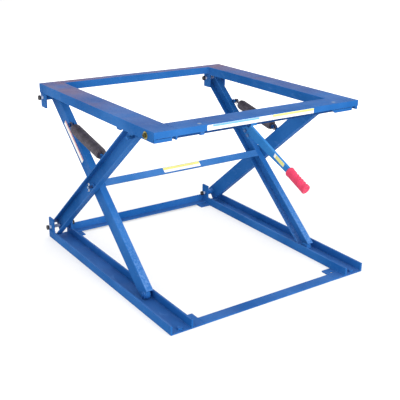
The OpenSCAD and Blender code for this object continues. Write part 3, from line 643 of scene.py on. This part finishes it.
@dataclass(frozen=True)
class Sticker:
    """A blank label with round corners, and a coloured band along one long edge."""

    width: float
    height: float
    films: tuple[Finish, Finish]
    band: float = 0.45
    band_from: float = 0.0
    band_to: float = 1.0
    corner: float = 2.0 * MM
    film: float = 0.25 * MM
    glue: float = 0.1 * MM
    margin: float = 0.8 * MM
    arc: int = 5

    def plate(self, shell: Shell, low: Vector, high: Vector, rise: float, mark: int) -> None:
        """Add one film with round corners.

        Args:
            shell: Mesh that takes the film.
            low: Lowest corner in the label's plane.
            high: Highest corner in the label's plane.
            rise: Height of the film's back over the surface.
            mark: Material mark of the film.
        """
        r = min(self.corner, (high.x - low.x) / 3, (high.y - low.y) / 3)
        left, right, bottom, top = low.x + r, high.x - r, low.y + r, high.y - r
        rim = []
        for quarter, (x, y) in enumerate(((right, top), (left, top), (left, bottom), (right, bottom))):
            for k in range(self.arc + 1):
                turn = math.pi / 2 * (quarter + k / self.arc)
                rim.append((x + r * math.cos(turn), y + r * math.sin(turn)))
        shell.loft([[Vector((x, y, rise + h)) for x, y in rim] for h in (0.0, self.film)], mark=mark)

    def build(self, name: str, matrix: Matrix) -> bpy.types.Object:
        """Make the label.

        Args:
            name: Name of the piece.
            matrix: Place of the label's middle, with Z out of the surface.

        Returns:
            The object.
        """
        shell = Shell()
        half = Vector((self.width / 2, self.height / 2, 0.0))
        self.plate(shell, -half, half, self.glue, 0)
        left, run = self.margin - half.x, self.width - 2 * self.margin
        low = Vector((left + self.band_from * run, half.y - self.band * self.height, 0.0))
        high = Vector((left + self.band_to * run, half.y - self.margin, 0.0))
        self.plate(shell, low, high, self.glue + self.film, 1)
        return shell.moved(matrix).build(name, self.films)


@dataclass(frozen=True)
class HexHead:
    """A chamfered hexagon head and the threaded shank through it."""

    flats: float
    height: float
    shank: float
    pitch: float = 1.4 * MM
    count: int = 48
    crown: float = 0.475
    chamfer_deg: float = 30.0

    def reach(self, turn: float) -> float:
        """Distance from the middle to the hexagon's side at an angle."""
        return self.flats / 2 / math.cos((turn + math.pi / 6) % (math.pi / 3) - math.pi / 6)

    def head(self, shell: Shell, dish: float, mark: int = 0) -> None:
        """Add the head, standing on the plane z = 0.

        Args:
            shell: Mesh that takes the head.
            dish: Depth of the hollow in its crown.
            mark: Material mark of the head.
        """
        crown, slope = self.flats * self.crown, math.tan(math.radians(self.chamfer_deg))
        foot, lip = [], []
        for j in range(self.count):
            turn = 2 * math.pi * j / self.count
            reach = self.reach(turn)
            foot.append(Vector((reach * math.cos(turn), reach * math.sin(turn), 0.0)))
            lip.append(foot[-1] + Z_AXIS * (self.height - max(0.0, reach - crown) * slope))
        rings, floor = [foot, lip], self.height - dish
        for share, z in ((1.0, self.height), (0.62, self.height), (0.5, floor), (0.1, floor)):
            rings.append(ring(Z_AXIS * z, X_AXIS, Y_AXIS, crown * share, self.count))
        shell.loft(rings, mark=mark)

    def thread(self, shell: Shell, low: float, high: float) -> None:
        """Add the threaded shank along Z.

        Args:
            shell: Mesh that takes the shank.
            low: Where it starts.
            high: Where it ends, with a chamfer.
        """
        crest = self.shank / 2
        root = crest - 0.45 * self.pitch
        count = max(2, round((high - low) / self.pitch * 2))
        levels = [(low + (high - low) * k / count, crest if k % 2 else root) for k in range(count)]
        levels.append((high, root))
        shell.turned(levels, count=self.count // 2)


@dataclass
class Stand:
    """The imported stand: its record, CAD nodes and joints."""

    frame: dict

    def joint(self, name: str) -> dict:
        """Get a joint of the record by its name."""
        return next(j for j in self.frame["joints"] if j["name"] == name)

    def pin(self, name: str) -> Vector:
        """Get the point that a joint turns about."""
        return Vector(self.joint(name)["pos_m"])

    def slot(self, node: str) -> Slot:
        """Get the material slot of a CAD node."""
        rows = self.frame["record"]["subparts"]
        return Slot(next(r["material_slot"] for r in rows if r["node"] == node))

    def members(self, body: str) -> list[str]:
        """Get the CAD nodes of a body."""
        return list(self.frame["record"]["behaviour"]["bodies"][body])


def wears(**finishes: Finish) -> dict[str, Finish]:
    """Field for the nodes that have a finish of their own."""
    return field(default_factory=lambda: dict(finishes))


@dataclass
class SubAssembly:
    """Nodes that ride on one body, and the pieces that are added to it."""

    stand: Stand
    body: str
    soften: float = 1.0 * MM
    sharp_deg: float = 50.0
    coat: Finish = CLEAN_COAT
    own: dict[str, Finish] = wears()

    def finish(self, node: str) -> Finish:
        """Get the finish of a node: its own, the body's coat where it is painted, or its slot's."""
        slot = self.stand.slot(node)
        return self.own.get(node, self.coat if slot is Slot.BLUE else FINISHES[slot])

    def dress(self) -> None:
        """Give each CAD node of the body its finish and eased edges."""
        for name in self.stand.members(self.body):
            node = self.stand.frame["nodes"][name]
            node.data.materials.clear()
            node.data.materials.append(self.finish(name).material())
            self.ease(node)
            LOG.info("dressed %s on %s", name, self.body)

    def ease(self, node: bpy.types.Object) -> None:
        """Round the sharp edges of a CAD node, which only takes material off.

        Args:
            node: The CAD object, whose own mesh stays as it is.
        """
        join = node.modifiers.new("join", "WELD")
        join.merge_threshold = 0.01 * MM
        cut = node.modifiers.new("ease", "BEVEL")
        cut.width = self.soften
        cut.segments = 2
        cut.limit_method = "ANGLE"
        cut.angle_limit = math.radians(self.sharp_deg)
        cut.use_clamp_overlap = True
        flat = node.modifiers.new("flat", "WEIGHTED_NORMAL")
        flat.keep_sharp = False
        flat.weight = 80

    def add(self, piece: bpy.types.Object, slot: Slot | None = None, stands_for: Sequence[str] = ()) -> None:
        """Ride a piece on the body.

        Args:
            piece: The piece, already in place.
            slot: Slot of the record for the piece; not used.
            stands_for: CAD nodes that it is shown instead of.
        """
        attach(piece, self.body)
        if stands_for:
            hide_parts(*stands_for)
        LOG.info("added %s to %s", piece.name, self.body)

    def add_welds(self, name: str, shell: Shell) -> None:
        """Add weld beads, painted over with the frame."""
        self.add(shell.build(name, [self.coat], crease=80.0), Slot.BLUE)


@dataclass
class HingedFrame(SubAssembly):
    """What the floor frame and the top frame share: side channels with hinge lugs on their flanges."""

    lug_t: float = 8.0 * MM
    sink: float = 1.5 * MM

    def weld_lugs(self, name: str, rail: str, lugs: str, level: float) -> None:
        """Run beads where the hinge lugs meet the flanges of the side channels.

        Args:
            name: Name of the piece.
            rail: CAD node of the left side channel.
            lugs: CAD node of the lugs.
            level: Height of the flanges' edges.
        """
        shell, bead = Shell(), Weld()
        low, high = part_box(rail)
        front, rear = [corner.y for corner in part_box(lugs)]
        outer, inner = (low.x, low.x + self.lug_t), (high.x - self.lug_t, high.x)
        for x in outer + inner:
            bead.line(shell, Vector((x, front, level)), Vector((x, rear, level)))
        for y in (front, rear):
            for start, end in (outer, inner):
                bead.line(shell, Vector((start, y, level)), Vector((end, y, level)))
        self.add_welds(name, shell.with_mirror())


@dataclass
class FloorFrame(HingedFrame):
    """Floor frame: side channels, front bar, rear angle, tabs and hinge lugs."""

    body: str = "base"
    coat: Finish = FLOOR_COAT
    # The base hinge pins take the pale zinc, a painted highlight.
    own: dict[str, Finish] = wears(base_hinge_pins=PAINTED_HIGHLIGHT_ZINC)
    front_tab: float = 91.0 * MM
    rear_tab: float = 78.0 * MM
    angle_t: float = 5.0 * MM
    angle_top: float = 39.0 * MM
    rim: float = 2.0 * MM
    web_t: float = 5.0 * MM
    bolt: HexHead = HexHead(20.0 * MM, 9.0 * MM, 12.0 * MM)
    bolt_dish: float = 0.8 * MM

    def build(self) -> None:
        """Build the welds and the stop bolts."""
        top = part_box("base_channel_left")[1].z
        self.weld_lugs("base_lug_welds", "base_channel_left", "base_hinge_lugs", top)
        self.weld_cross_members()
        self.bolt_stops()

    def weld_cross_members(self) -> None:
        """Run beads where the tabs, the front bar and the rear angle meet their neighbours."""
        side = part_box("base_channel_left")[1].x
        tab_low, tab_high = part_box("floor_tabs")
        bar_low, bar_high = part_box("base_front_bar")
        angle_low, angle_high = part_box("base_rear_angle")
        bar_top, shelf, wall = bar_high.z - self.sink, angle_low.z + self.angle_t, angle_high.y - self.angle_t
        runs = (
            ((side, tab_low.y + self.rim, tab_high.z), (side, tab_low.y + self.front_tab, tab_high.z)),
            ((side, tab_high.y - self.rear_tab, tab_high.z), (side, angle_low.y, tab_high.z)),
            ((bar_low.x, bar_low.y + self.rim, bar_top), (bar_low.x, bar_high.y, bar_top)),
            ((side, angle_low.y, shelf), (side, wall, shelf)),
            ((side, wall, shelf), (side, wall, self.angle_top)),
        )
        shell = Shell()
        for start, end in runs:
            Weld().line(shell, Vector(start), Vector(end))
        self.add_welds("base_cross_welds", shell.with_mirror())

    def bolt_stops(self) -> None:
        """Make the bolts that keep the lower rollers in their channels."""
        low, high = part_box("base_stop_bolts")
        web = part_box("base_channel_left")[0].z + self.web_t
        shell = Shell()
        self.bolt.head(shell, self.bolt_dish)
        self.bolt.thread(shell, -web + 0.2 * MM, 1.0 * MM)
        centre = Vector((low.x + self.bolt.flats / math.sqrt(3), (low.y + high.y) / 2, web))
        shell.moved(Matrix.Translation(centre)).with_mirror()
        self.add(shell.build("stop_bolts", [self.coat], 25.0), Slot.BLUE, ["base_stop_bolts"])


@dataclass
class Legs(SubAssembly):
    """What the outer and the inner pair of legs share."""

    coat: Finish = LEG_COAT
    lean_deg: float = 40.2555
    bow: float = 6.80 * MM
    depth: float = 70.0 * MM
    flip: int = 1
    lug_t: float = 6.0 * MM
    lug_u: float = 0.0
    lug_half: float = 11.0 * MM
    lug_weld: Weld = Weld(2.8 * MM, 3.6 * MM)
    sleeve_r: float = 14.0 * MM
    sleeve_in: float = 32.0 * MM

    def at(self, x: float, u: float, v: float) -> Vector:
        """Point on a leg, from its run towards the roller and its depth.

        Args:
            x: Sideways place.
            u: Distance from the centre pivot towards the roller.
            v: Distance from the middle of the channel towards its far flange.

        Returns:
            The point.
        """
        pivot = self.stand.pin("scissor")
        lean = math.radians(self.lean_deg)
        high = v + self.bow
        y = -u * math.cos(lean) + high * math.sin(lean)
        z = u * math.sin(lean) + high * math.cos(lean)
        return Vector((x, pivot.y + y, pivot.z + self.flip * z))

    def weld_fittings(self, lugs: str, v: float, hinge: str, back: float) -> Shell:
        """Run beads along the left spring lug and round the left hinge sleeve.

        Args:
            lugs: CAD node of the spring lugs.
            v: Depth of the flange that the lug stands on.
            hinge: Joint at the sleeve.
            back: Sideways place where the sleeve meets the leg.

        Returns:
            The mesh with the beads.
        """
        shell = Shell()
        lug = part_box(lugs)[0].x
        low, high = self.lug_u - self.lug_half, self.lug_u + self.lug_half
        for x in (lug, lug + self.lug_t):
            self.lug_weld.line(shell, self.at(x, low, v), self.at(x, high, v))
        centre = self.stand.pin(hinge)
        Weld().round(shell, Vector((back, centre.y, centre.z)), self.sleeve_r)
        return shell


@dataclass
class OuterLegs(Legs):
    """Outer legs, hinged at the floor frame, with the catch pins and the top rollers."""

    body: str = "outer_legs"
    own: dict[str, Finish] = wears(front_spring_pins=DARK_NAVY_COAT, pivot_nuts=LEG_COAT)
    lug_u: float = 179.0 * MM
    stub_r: float = 6.0 * MM
    stub_len: float = 24.0 * MM
    collar_r: float = 16.0 * MM
    collar_t: float = 6.0 * MM
    shank_r: float = 10.0 * MM
    shank_len: float = 24.0 * MM
    pin_ease: float = 1.2 * MM
    split_in: float = 7.0 * MM
    split_wire: float = 1.6 * MM
    eye_r: float = 4.2 * MM
    eye_up: float = 13.0 * MM

    def build(self) -> None:
        """Build the welds and the centre pivots."""
        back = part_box("outer_leg_left")[0].x + self.sleeve_in
        shell = self.weld_fittings("front_spring_lugs", self.depth / 2, "lift", back)
        self.add_welds("outer_leg_welds", shell.with_mirror())
        self.pivots()

    def pivots(self) -> None:
        """Make the collared pivot pins and the split pins through their stubs."""
        centre = self.stand.pin("scissor")
        centre.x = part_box("pivot_pins")[0].x
        ease, front = self.pin_ease, self.stub_len
        back = front + self.collar_t
        end = back + self.shank_len
        stub = [(0.0, self.stub_r - ease), (ease, self.stub_r), (front, self.stub_r)]
        collar = [(front, self.collar_r - ease), (front + ease, self.collar_r), (back, self.collar_r)]
        collar += [(back, self.shank_r), (end - ease, self.shank_r), (end, self.shank_r - ease)]
        shell = Shell()
        for mark, levels in enumerate((stub, collar)):
            shell.turned(levels, centre, (Y_AXIS, Z_AXIS, X_AXIS), mark=mark)
        made = shell.with_mirror().build("pivot_pins_turned", [DULL_ZINC, self.coat], 30.0)
        self.add(made, Slot.ZINC, ["pivot_pins"])
        self.split_pins(centre + X_AXIS * self.split_in)

    def split_pins(self, centre: Vector) -> None:
        """Make the split pins, with an eye above the stub and spread tails below it.

        Args:
            centre: Middle of the left stub where its split pin goes through.
        """
        r = self.split_wire
        turns = [0.6 + 0.31 * k for k in range(17)]
        eye = [(self.eye_r * math.sin(t), self.eye_up - self.eye_r * math.cos(t)) for t in turns]
        path = [(9.0 * MM, -22.0 * MM), (4.0 * MM, -15.0 * MM), (r, -9.0 * MM), (r, 8.0 * MM), *eye]
        path += [(-r, 8.0 * MM), (-r, -9.0 * MM), (-3.0 * MM, -13.0 * MM), (-6.0 * MM, -17.0 * MM)]
        spine = [centre + Vector((0, a, b)) for a, b in path]
        rings = []
        for k, spot in enumerate(spine):
            run = (spine[min(k + 1, len(spine) - 1)] - spine[max(k - 1, 0)]).normalized()
            rings.append(ring(spot, X_AXIS, run.cross(X_AXIS), r, 10))
        shell = Shell()
        shell.loft(rings)
        self.add(shell.with_mirror().build("pivot_split_pins", [FINISHES[Slot.ZINC]], 60.0), Slot.ZINC)


@dataclass
class InnerLegs(Legs):
    """Inner legs, hinged at the top frame, with the tie bar and the lower rollers."""

    body: str = "inner_legs"
    # The tie bar takes the lighter coat, a painted highlight.
    own: dict[str, Finish] = wears(tie_bar=LIT_TIE_COAT, rear_spring_pins=DARK_NAVY_COAT)
    flip: int = -1
    lug_u: float = -308.0 * MM
    tie_u: float = 6.0 * MM
    tie_w: float = 34.0 * MM
    tie_t: float = 6.0 * MM
    tie_rim: float = 1.2 * MM
    tie_weld: Weld = Weld(2.6 * MM, 4.0 * MM)
    tie_label: Sticker = Sticker(200.0 * MM, 26.0 * MM, (WHITE_FILM, YELLOW_FILM), 0.5)
    tie_label_x: float = -20.0 * MM
    tie_label_up: float = 2.0 * MM
    leg_label: Sticker = Sticker(222.0 * MM, 26.0 * MM, (WHITE_FILM, RED_FILM), 0.28)
    leg_label_u: float = -251.0 * MM
    leg_label_v: float = 6.5 * MM
    axle_head: float = 4.0 * MM

    def build(self) -> None:
        """Build the welds and the labels."""
        face = -self.depth / 2
        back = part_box("inner_leg_left")[1].x - self.sleeve_in
        shell = self.weld_fittings("rear_spring_lugs", face, "deck_level", back)
        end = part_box("tie_bar")[0].x
        low, high = self.tie_u - self.tie_w / 2, self.tie_u + self.tie_w / 2
        for v in (face + self.tie_rim, face + self.tie_t):
            self.tie_weld.line(shell, self.at(end, low, v), self.at(end, high, v))
        self.add_welds("inner_leg_welds", shell.with_mirror())
        self.labels(face)

    def labels(self, face: float) -> None:
        """Stick blank labels on the tie bar and on the left leg.

        Args:
            face: Depth of the front flange of the legs.
        """
        up = (self.at(0, -1, 0) - self.at(0, 0, 0)).normalized()
        spot = self.at(self.tie_label_x, self.tie_u - self.tie_label_up, face)
        self.add(self.tie_label.build("tie_bar_label", facing(spot, X_AXIS, up)))
        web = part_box("base_axles")[0].x + self.axle_head
        spot = self.at(web, self.leg_label_u, self.leg_label_v)
        front = (self.at(0, 0, -1) - self.at(0, 0, 0)).normalized()
        self.add(self.leg_label.build("leg_label", facing(spot, front.cross(-X_AXIS), front)))


@dataclass
class TopFrame(HingedFrame):
    """Top frame: side rails, front and rear rails, hinge lugs and the lock's hangers."""

    body: str = "platform"
    coat: Finish = DECK_COAT
    # The deck hinge pins take the pale zinc, a painted highlight.
    own: dict[str, Finish] = wears(hanger_screws=DULL_ZINC, deck_hinge_pins=PAINTED_HIGHLIGHT_ZINC)
    weld_drop: float = 3.0 * MM
    seam: Weld = Weld(1.7 * MM, 9.0 * MM)
    seam_inset: float = 5.0 * MM
    seam_drop: float = 1.2 * MM
    strip: Sticker = Sticker(311.0 * MM, 20.6 * MM, (WHITE_FILM, SKY_FILM), 0.42, 0.08, 0.79)
    strip_x: float = -123.5 * MM
    notice: Sticker = Sticker(217.0 * MM, 20.6 * MM, (WHITE_FILM, YELLOW_FILM), 0.46)
    notice_x: float = 141.5 * MM
    label_rise: float = 11.0 * MM
    bolt: HexHead = HexHead(16.0 * MM, 7.0 * MM, 10.0 * MM)
    bolt_dish: float = 2.2 * MM
    bolt_in: float = 19.4 * MM
    washer_r: float = 15.0 * MM
    washer_t: float = 2.0 * MM
    washer_bore: float = 7.0 * MM

    def build(self) -> None:
        """Build the welds, the painted seam shadows, the labels and the guide bolts."""
        self.weld_lugs("deck_lug_welds", "deck_rail_left", "deck_hinge_lugs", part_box("deck_hinge_lugs")[1].z)
        self.weld_corners()
        self.paint_seam_shadows()
        self.labels()
        self.guide_bolts()

    def weld_corners(self) -> None:
        """Run beads in the corners between the side rails and the cross rails."""
        shell = Shell()
        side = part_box("deck_rail_left")[1].x
        front_low, front_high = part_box("deck_front_rail")
        rear_low, rear_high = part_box("deck_rear_rail")
        top = front_high.z - self.weld_drop
        places = [(front_high.y, front_low.z)]
        places += [(y, rear_low.z) for y in (rear_low.y, rear_high.y - self.sink)]
        for y, low in places:
            Weld().line(shell, Vector((side, y, low)), Vector((side, y, top)))
        self.add_welds("deck_corner_welds", shell.with_mirror())

    def paint_seam_shadows(self) -> None:
        """Run a dark line between the front face and each stop plate, a painted shadow of the gap there."""
        shell = Shell()
        for node in ("deck_stop_plate_left", "deck_stop_plate_right"):
            low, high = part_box(node)
            level = high.z - self.seam_drop
            start, end = low.x + self.seam_inset, high.x - self.seam_inset
            self.seam.line(shell, Vector((start, low.y, level)), Vector((end, low.y, level)))
        self.add(shell.build("stop_plate_seam_shadows", [DARK_NAVY_COAT], 60.0), Slot.BLUE)

    def labels(self) -> None:
        """Stick blank labels on the front rail."""
        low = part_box("deck_front_rail")[0]
        rows = (("front_strip", self.strip, self.strip_x), ("front_notice", self.notice, self.notice_x))
        for name, label, x in rows:
            spot = Vector((x, low.y, low.z + self.label_rise))
            self.add(label.build(name, facing(spot, X_AXIS, Z_AXIS)))

    def guide_bolts(self) -> None:
        """Make the guide bolts with their washers."""
        low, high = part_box("guide_bolts")
        foot = Vector((low.x + self.bolt.height, (low.y + high.y) / 2, (low.z + high.z) / 2))
        r = self.washer_r
        levels = [(-self.washer_t, r - 0.3 * MM), (-0.4 * MM, r), (0.0, r - 0.6 * MM)]
        levels.append((0.0, self.washer_bore))
        shell = Shell()
        shell.turned(levels)
        self.bolt.head(shell, self.bolt_dish, 1)
        self.bolt.thread(shell, -self.bolt_in, -self.washer_t + 0.2 * MM)
        shell.moved(facing(foot, -Y_AXIS, Z_AXIS)).with_mirror()
        piece = shell.build("guide_bolts_turned", [FINISHES[Slot.GOLD], DARK_GOLD_ZINC], 25.0)
        self.add(piece, Slot.GOLD, ["guide_bolts"])


@dataclass
class HeightLock(SubAssembly):
    """Lock shaft with its hooks, and the release lever with its grip."""

    body: str = "lock"
    # The lever and its bracket take the lighter coat, a painted highlight.
    own: dict[str, Finish] = wears(release_lever=LIT_LEVER_COAT, lever_bracket=LIT_LEVER_COAT, lock_shaft=DARK_NAVY_COAT)
    slope_deg: float = 25.0
    plate_x: float = -80.0 * MM
    label: Sticker = Sticker(62.0 * MM, 16.0 * MM, (WHITE_FILM, YELLOW_FILM), 0.95, 0.16)
    label_s: float = 213.0 * MM
    label_n: float = -3.0 * MM
    bar_n: float = -6.0 * MM
    bar_t: float = 10.0 * MM
    grip_s: Pair = (273.0 * MM, 379.0 * MM)
    grip_r: float = 19.7 * MM
    grip_flat: float = 0.9
    grip_count: int = 48
    grooves: int = 5
    groove_s: Pair = (300.0 * MM, 366.0 * MM)
    groove_depth: float = 3.4 * MM
    groove_turn: float = 0.3
    spots: tuple[Pair, ...] = ((0.0, -30.0 * MM), (20.0 * MM, -37.0 * MM))
    bolt: HexHead = HexHead(13.0 * MM, 5.5 * MM, 8.0 * MM, 1.25 * MM)
    bolt_dish: float = 0.6 * MM
    bolt_in: float = 26.0 * MM
    shaft_weld: Weld = Weld(2.4 * MM, 3.4 * MM)
    shaft_r: float = 6.6 * MM

    def at(self, x: float, s: float, n: float) -> Vector:
        """Point by the lever: s along it from the shaft, n up from it."""
        shaft = self.stand.pin("lock_turn")
        slope = math.radians(self.slope_deg)
        y = -s * math.cos(slope) - n * math.sin(slope)
        return Vector((x, shaft.y + y, shaft.z - s * math.sin(slope) + n * math.cos(slope)))

    def build(self) -> None:
        """Build the welds, the grip, the clamp bolts and the lever's label."""
        shaft = self.stand.pin("lock_turn")
        shell = Shell()
        self.shaft_weld.round(shell, Vector((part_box("hook_left")[1].x, shaft.y, shaft.z)), self.shaft_r)
        shell.with_mirror()
        self.shaft_weld.round(shell, Vector((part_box("lever_bracket")[1].x, shaft.y, shaft.z)), self.shaft_r)
        self.add_welds("lock_welds", shell)
        self.grip()
        self.clamp_bolts()
        along = (self.at(0, 1, 0) - self.at(0, 0, 0)).normalized()
        spot = self.at(self.plate_x, self.label_s, self.label_n)
        self.add(self.label.build("lever_label", facing(spot, along, along.cross(X_AXIS))))

    def grip(self) -> None:
        """Make the moulded grip, with a collar, finger ridges on top and a rimmed flat end."""
        start, end = self.grip_s
        first, last = self.groove_s
        count = 16 * self.grooves
        collar = ((0.0, 0.8), (0.6, 0.9), (2.0, 0.97), (4.0, 1.0), (9.0, 1.0), (13.0, 0.95))
        rim = ((6.0, 0.98), (3.0, 0.98), (1.2, 0.94), (0.3, 0.87), (0.0, 0.78))
        hollow = ((0.2, 0.7), (1.4, 0.62), (1.4, 0.1))
        sections = [(start + s * MM, share) for s, share in collar]
        sections += [(first + (last - first) * k / count, 0.95) for k in range(count + 1)]
        sections += [(end - s * MM, share) for s, share in rim + hollow]
        shell = Shell()
        shell.loft([self.grip_loop(s, share) for s, share in sections])
        self.add(shell.build("grip_moulded", [FINISHES[Slot.GRIP]], 50.0), Slot.GRIP, ["lever_grip"])

    def grip_loop(self, s: float, share: float) -> list[Vector]:
        """Outline of the grip at one place.

        Args:
            s: Place along the lever.
            share: Share of the full radius.

        Returns:
            The points of the outline.
        """
        first, last = self.groove_s
        turns = self.grooves * (s - first) / (last - first)
        wave = 0.5 - 0.5 * math.cos(2 * math.pi * turns) if first < s < last else 0.0
        points = []
        for j in range(self.grip_count):
            turn = 2 * math.pi * j / self.grip_count
            top = max(0.0, math.sin(turn + self.groove_turn)) ** 1.2
            reach = self.grip_r * share - self.groove_depth * wave**0.7 * top
            wide, tall = self.grip_flat * reach * math.cos(turn), reach * math.sin(turn)
            points.append(self.at(self.plate_x + self.bar_t / 2 + wide, s, self.bar_n + tall))
        return points

    def clamp_bolts(self) -> None:
        """Make the two bolts that clamp the lever to its bracket."""
        shell = Shell()
        up = (self.at(0, 0, 1) - self.at(0, 0, 0)).normalized()
        for s, n in self.spots:
            part = Shell()
            self.bolt.head(part, self.bolt_dish)
            self.bolt.thread(part, -self.bolt_in, 0.5 * MM)
            shell.take(part.moved(facing(self.at(self.plate_x, s, n), up.cross(-X_AXIS), up)))
        self.add(shell.build("clamp_bolts", [WORN_ZINC], 25.0), Slot.ZINC, ["lever_bolts"])


@dataclass
class AssistSpring(SubAssembly):
    """One lift spring: a close-wound coil between two eyed plugs."""

    side: Side = Side.LEFT
    body: str = ""
    far_body: str = ""
    coil_r: float = 22.2 * MM
    wire_r: float = 2.8 * MM
    wire_gap: float = 0.3 * MM
    turns: int = 36
    dead_turns: float = 0.8
    coil_from: float = 50.0 * MM
    coil_to: float = 290.7 * MM
    steps: int = 26
    sides: int = 12

    def __post_init__(self) -> None:
        """Name the two bodies of this side."""
        self.body = f"spring_{self.side.value}"
        self.far_body = f"spring_end_{self.side.value}"

    def build(self) -> None:
        """Wind the coil, which stretches between its two plugs."""
        word = self.side.value
        foot = self.stand.pin(f"spring_{word}_swing")
        axis = Vector(self.stand.joint(f"spring_{word}_stretch")["axis"]).normalized()
        rise = axis.cross(X_AXIS)
        inset = self.wire_r + self.wire_gap
        low, high = self.coil_from + inset, self.coil_to - inset
        rings = []
        for k in range(round((self.turns + 2 * self.dead_turns) * self.steps) + 1):
            turn = k / self.steps - self.dead_turns
            share = min(1.0, max(0.0, turn / self.turns))
            out = X_AXIS * math.cos(2 * math.pi * turn) + rise * math.sin(2 * math.pi * turn)
            centre = foot + axis * (low + (high - low) * share) + out * self.coil_r
            rings.append(ring(centre, out, axis, self.wire_r, self.sides))
        shell = Shell()
        shell.loft(rings)
        piece = shell.build(f"coil_{word}", [FINISHES[Slot.SPRING]], 60.0)
        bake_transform(piece)
        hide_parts(f"spring_coil_{word}")
        LOG.info("added %s between %s and %s", piece.name, self.body, self.far_body)


@dataclass(frozen=True)
class SoftBox:
    """A square studio lamp that looks at a point of the stand."""

    name: str
    place: Triple
    aim: Triple
    size: float
    watts: float
    tint: Triple = (1.0, 1.0, 1.0)

    def hang(self) -> None:
        """Put the lamp into the scene."""
        lamp = bpy.data.lights.new(self.name, "AREA")
        lamp.shape = "SQUARE"
        lamp.size = self.size
        lamp.energy = self.watts
        lamp.color = self.tint
        made = bpy.data.objects.new(self.name, lamp)
        made.location = self.place
        made.rotation_mode = "QUATERNION"
        made.rotation_quaternion = (Vector(self.aim) - Vector(self.place)).to_track_quat("-Z", "Y")
        bpy.context.scene.collection.objects.link(made)


@dataclass
class Studio:
    """Floor, white surround, lamps and the camera at the photograph's place."""

    eye: Triple = (-1.77359, -2.55931, 1.43405)
    yaw: float = 0.607491
    pitch: float = -0.358504
    roll: float = 0.0146496
    lens: float = 65.115
    sensor: float = 36.0
    far: float = 100.0
    ambient: float = 1.05
    white: Colour = (1.0, 1.0, 1.0, 1.0)
    floor_half: float = 12.0
    floor_drop: float = 0.2 * MM
    lamps: tuple[SoftBox, ...] = (
        SoftBox("key_lamp", (0.6, -6.2, 1.8), (0.0, 0.0, 0.4), 3.4, 215.0),
        SoftBox("fill_lamp", (-3.8, -3.0, 0.9), (0.0, -0.2, 0.4), 1.6, 48.0),
        SoftBox("top_lamp", (0.3, 1.0, 6.0), (0.0, 0.0, 0.5), 4.0, 30.0, (1.0, 0.97, 0.98)),
    )

    def build(self) -> None:
        """Build the floor, the surround, the lamps and the camera."""
        self.floor()
        self.surround()
        for lamp in self.lamps:
            lamp.hang()
        self.camera()
        bpy.context.scene.view_settings.view_transform = "Standard"

    def floor(self) -> None:
        """Lay the floor under the stand."""
        half, z = self.floor_half, -self.floor_drop
        shell = Shell([Vector((x * half, y * half, z)) for x, y in ((-1, -1), (1, -1), (1, 1), (-1, 1))])
        shell.face((0, 1, 2, 3))
        shell.build("studio_floor", [Sweep("studio_sweep")])

    def surround(self) -> None:
        """Light the stand from all round, with white behind it for the camera and for gloss."""
        world = bpy.data.worlds.new("studio_surround")
        bpy.context.scene.world = world
        graph = Graph(world, "ShaderNodeOutputWorld")
        level = graph.span(graph.seen(), 0.0, 1.0, self.ambient, 1.0)
        glow = graph.add("ShaderNodeBackground", {"Color": self.white, "Strength": level})
        graph.close(glow.outputs["Background"])

    def camera(self) -> None:
        """Set the camera where the photograph was taken from."""
        ahead = Vector((math.sin(self.yaw), math.cos(self.yaw), 0.0)) * math.cos(self.pitch)
        ahead.z = math.sin(self.pitch)
        level = Vector((math.cos(self.yaw), -math.sin(self.yaw), 0.0))
        right = level * math.cos(self.roll) + level.cross(ahead) * math.sin(self.roll)
        data = bpy.data.cameras.new("photo_camera")
        data.lens = self.lens
        data.sensor_width = self.sensor
        data.clip_end = self.far
        made = bpy.data.objects.new("photo_camera", data)
        made.matrix_world = facing(Vector(self.eye), right, right.cross(ahead))
        bpy.context.scene.collection.objects.link(made)
        bpy.context.scene.camera = made


def corners(box: tuple[Vector, Vector]) -> list[list[float]]:
    """Two corners of a box as plain lists."""
    return [list(box[0]), list(box[1])]


def main() -> None:
    """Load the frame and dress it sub-assembly by sub-assembly."""
    logging.basicConfig(level=logging.INFO, format="%(message)s")
    stand = Stand(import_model())
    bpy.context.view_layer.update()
    Studio().build()
    kinds = (FloorFrame, OuterLegs, InnerLegs, TopFrame, HeightLock)
    groups: list[SubAssembly] = [kind(stand) for kind in kinds]
    groups += [AssistSpring(stand, side=side) for side in Side]
    for group in groups:
        group.dress()
        group.build()
    others = [f"{level}_roller_{side.value}_body" for level in ("top", "base") for side in Side]
    for body in others + [f"spring_end_{side.value}" for side in Side]:
        SubAssembly(stand, body).dress()
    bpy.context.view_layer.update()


if __name__ == "__main__":
    main()
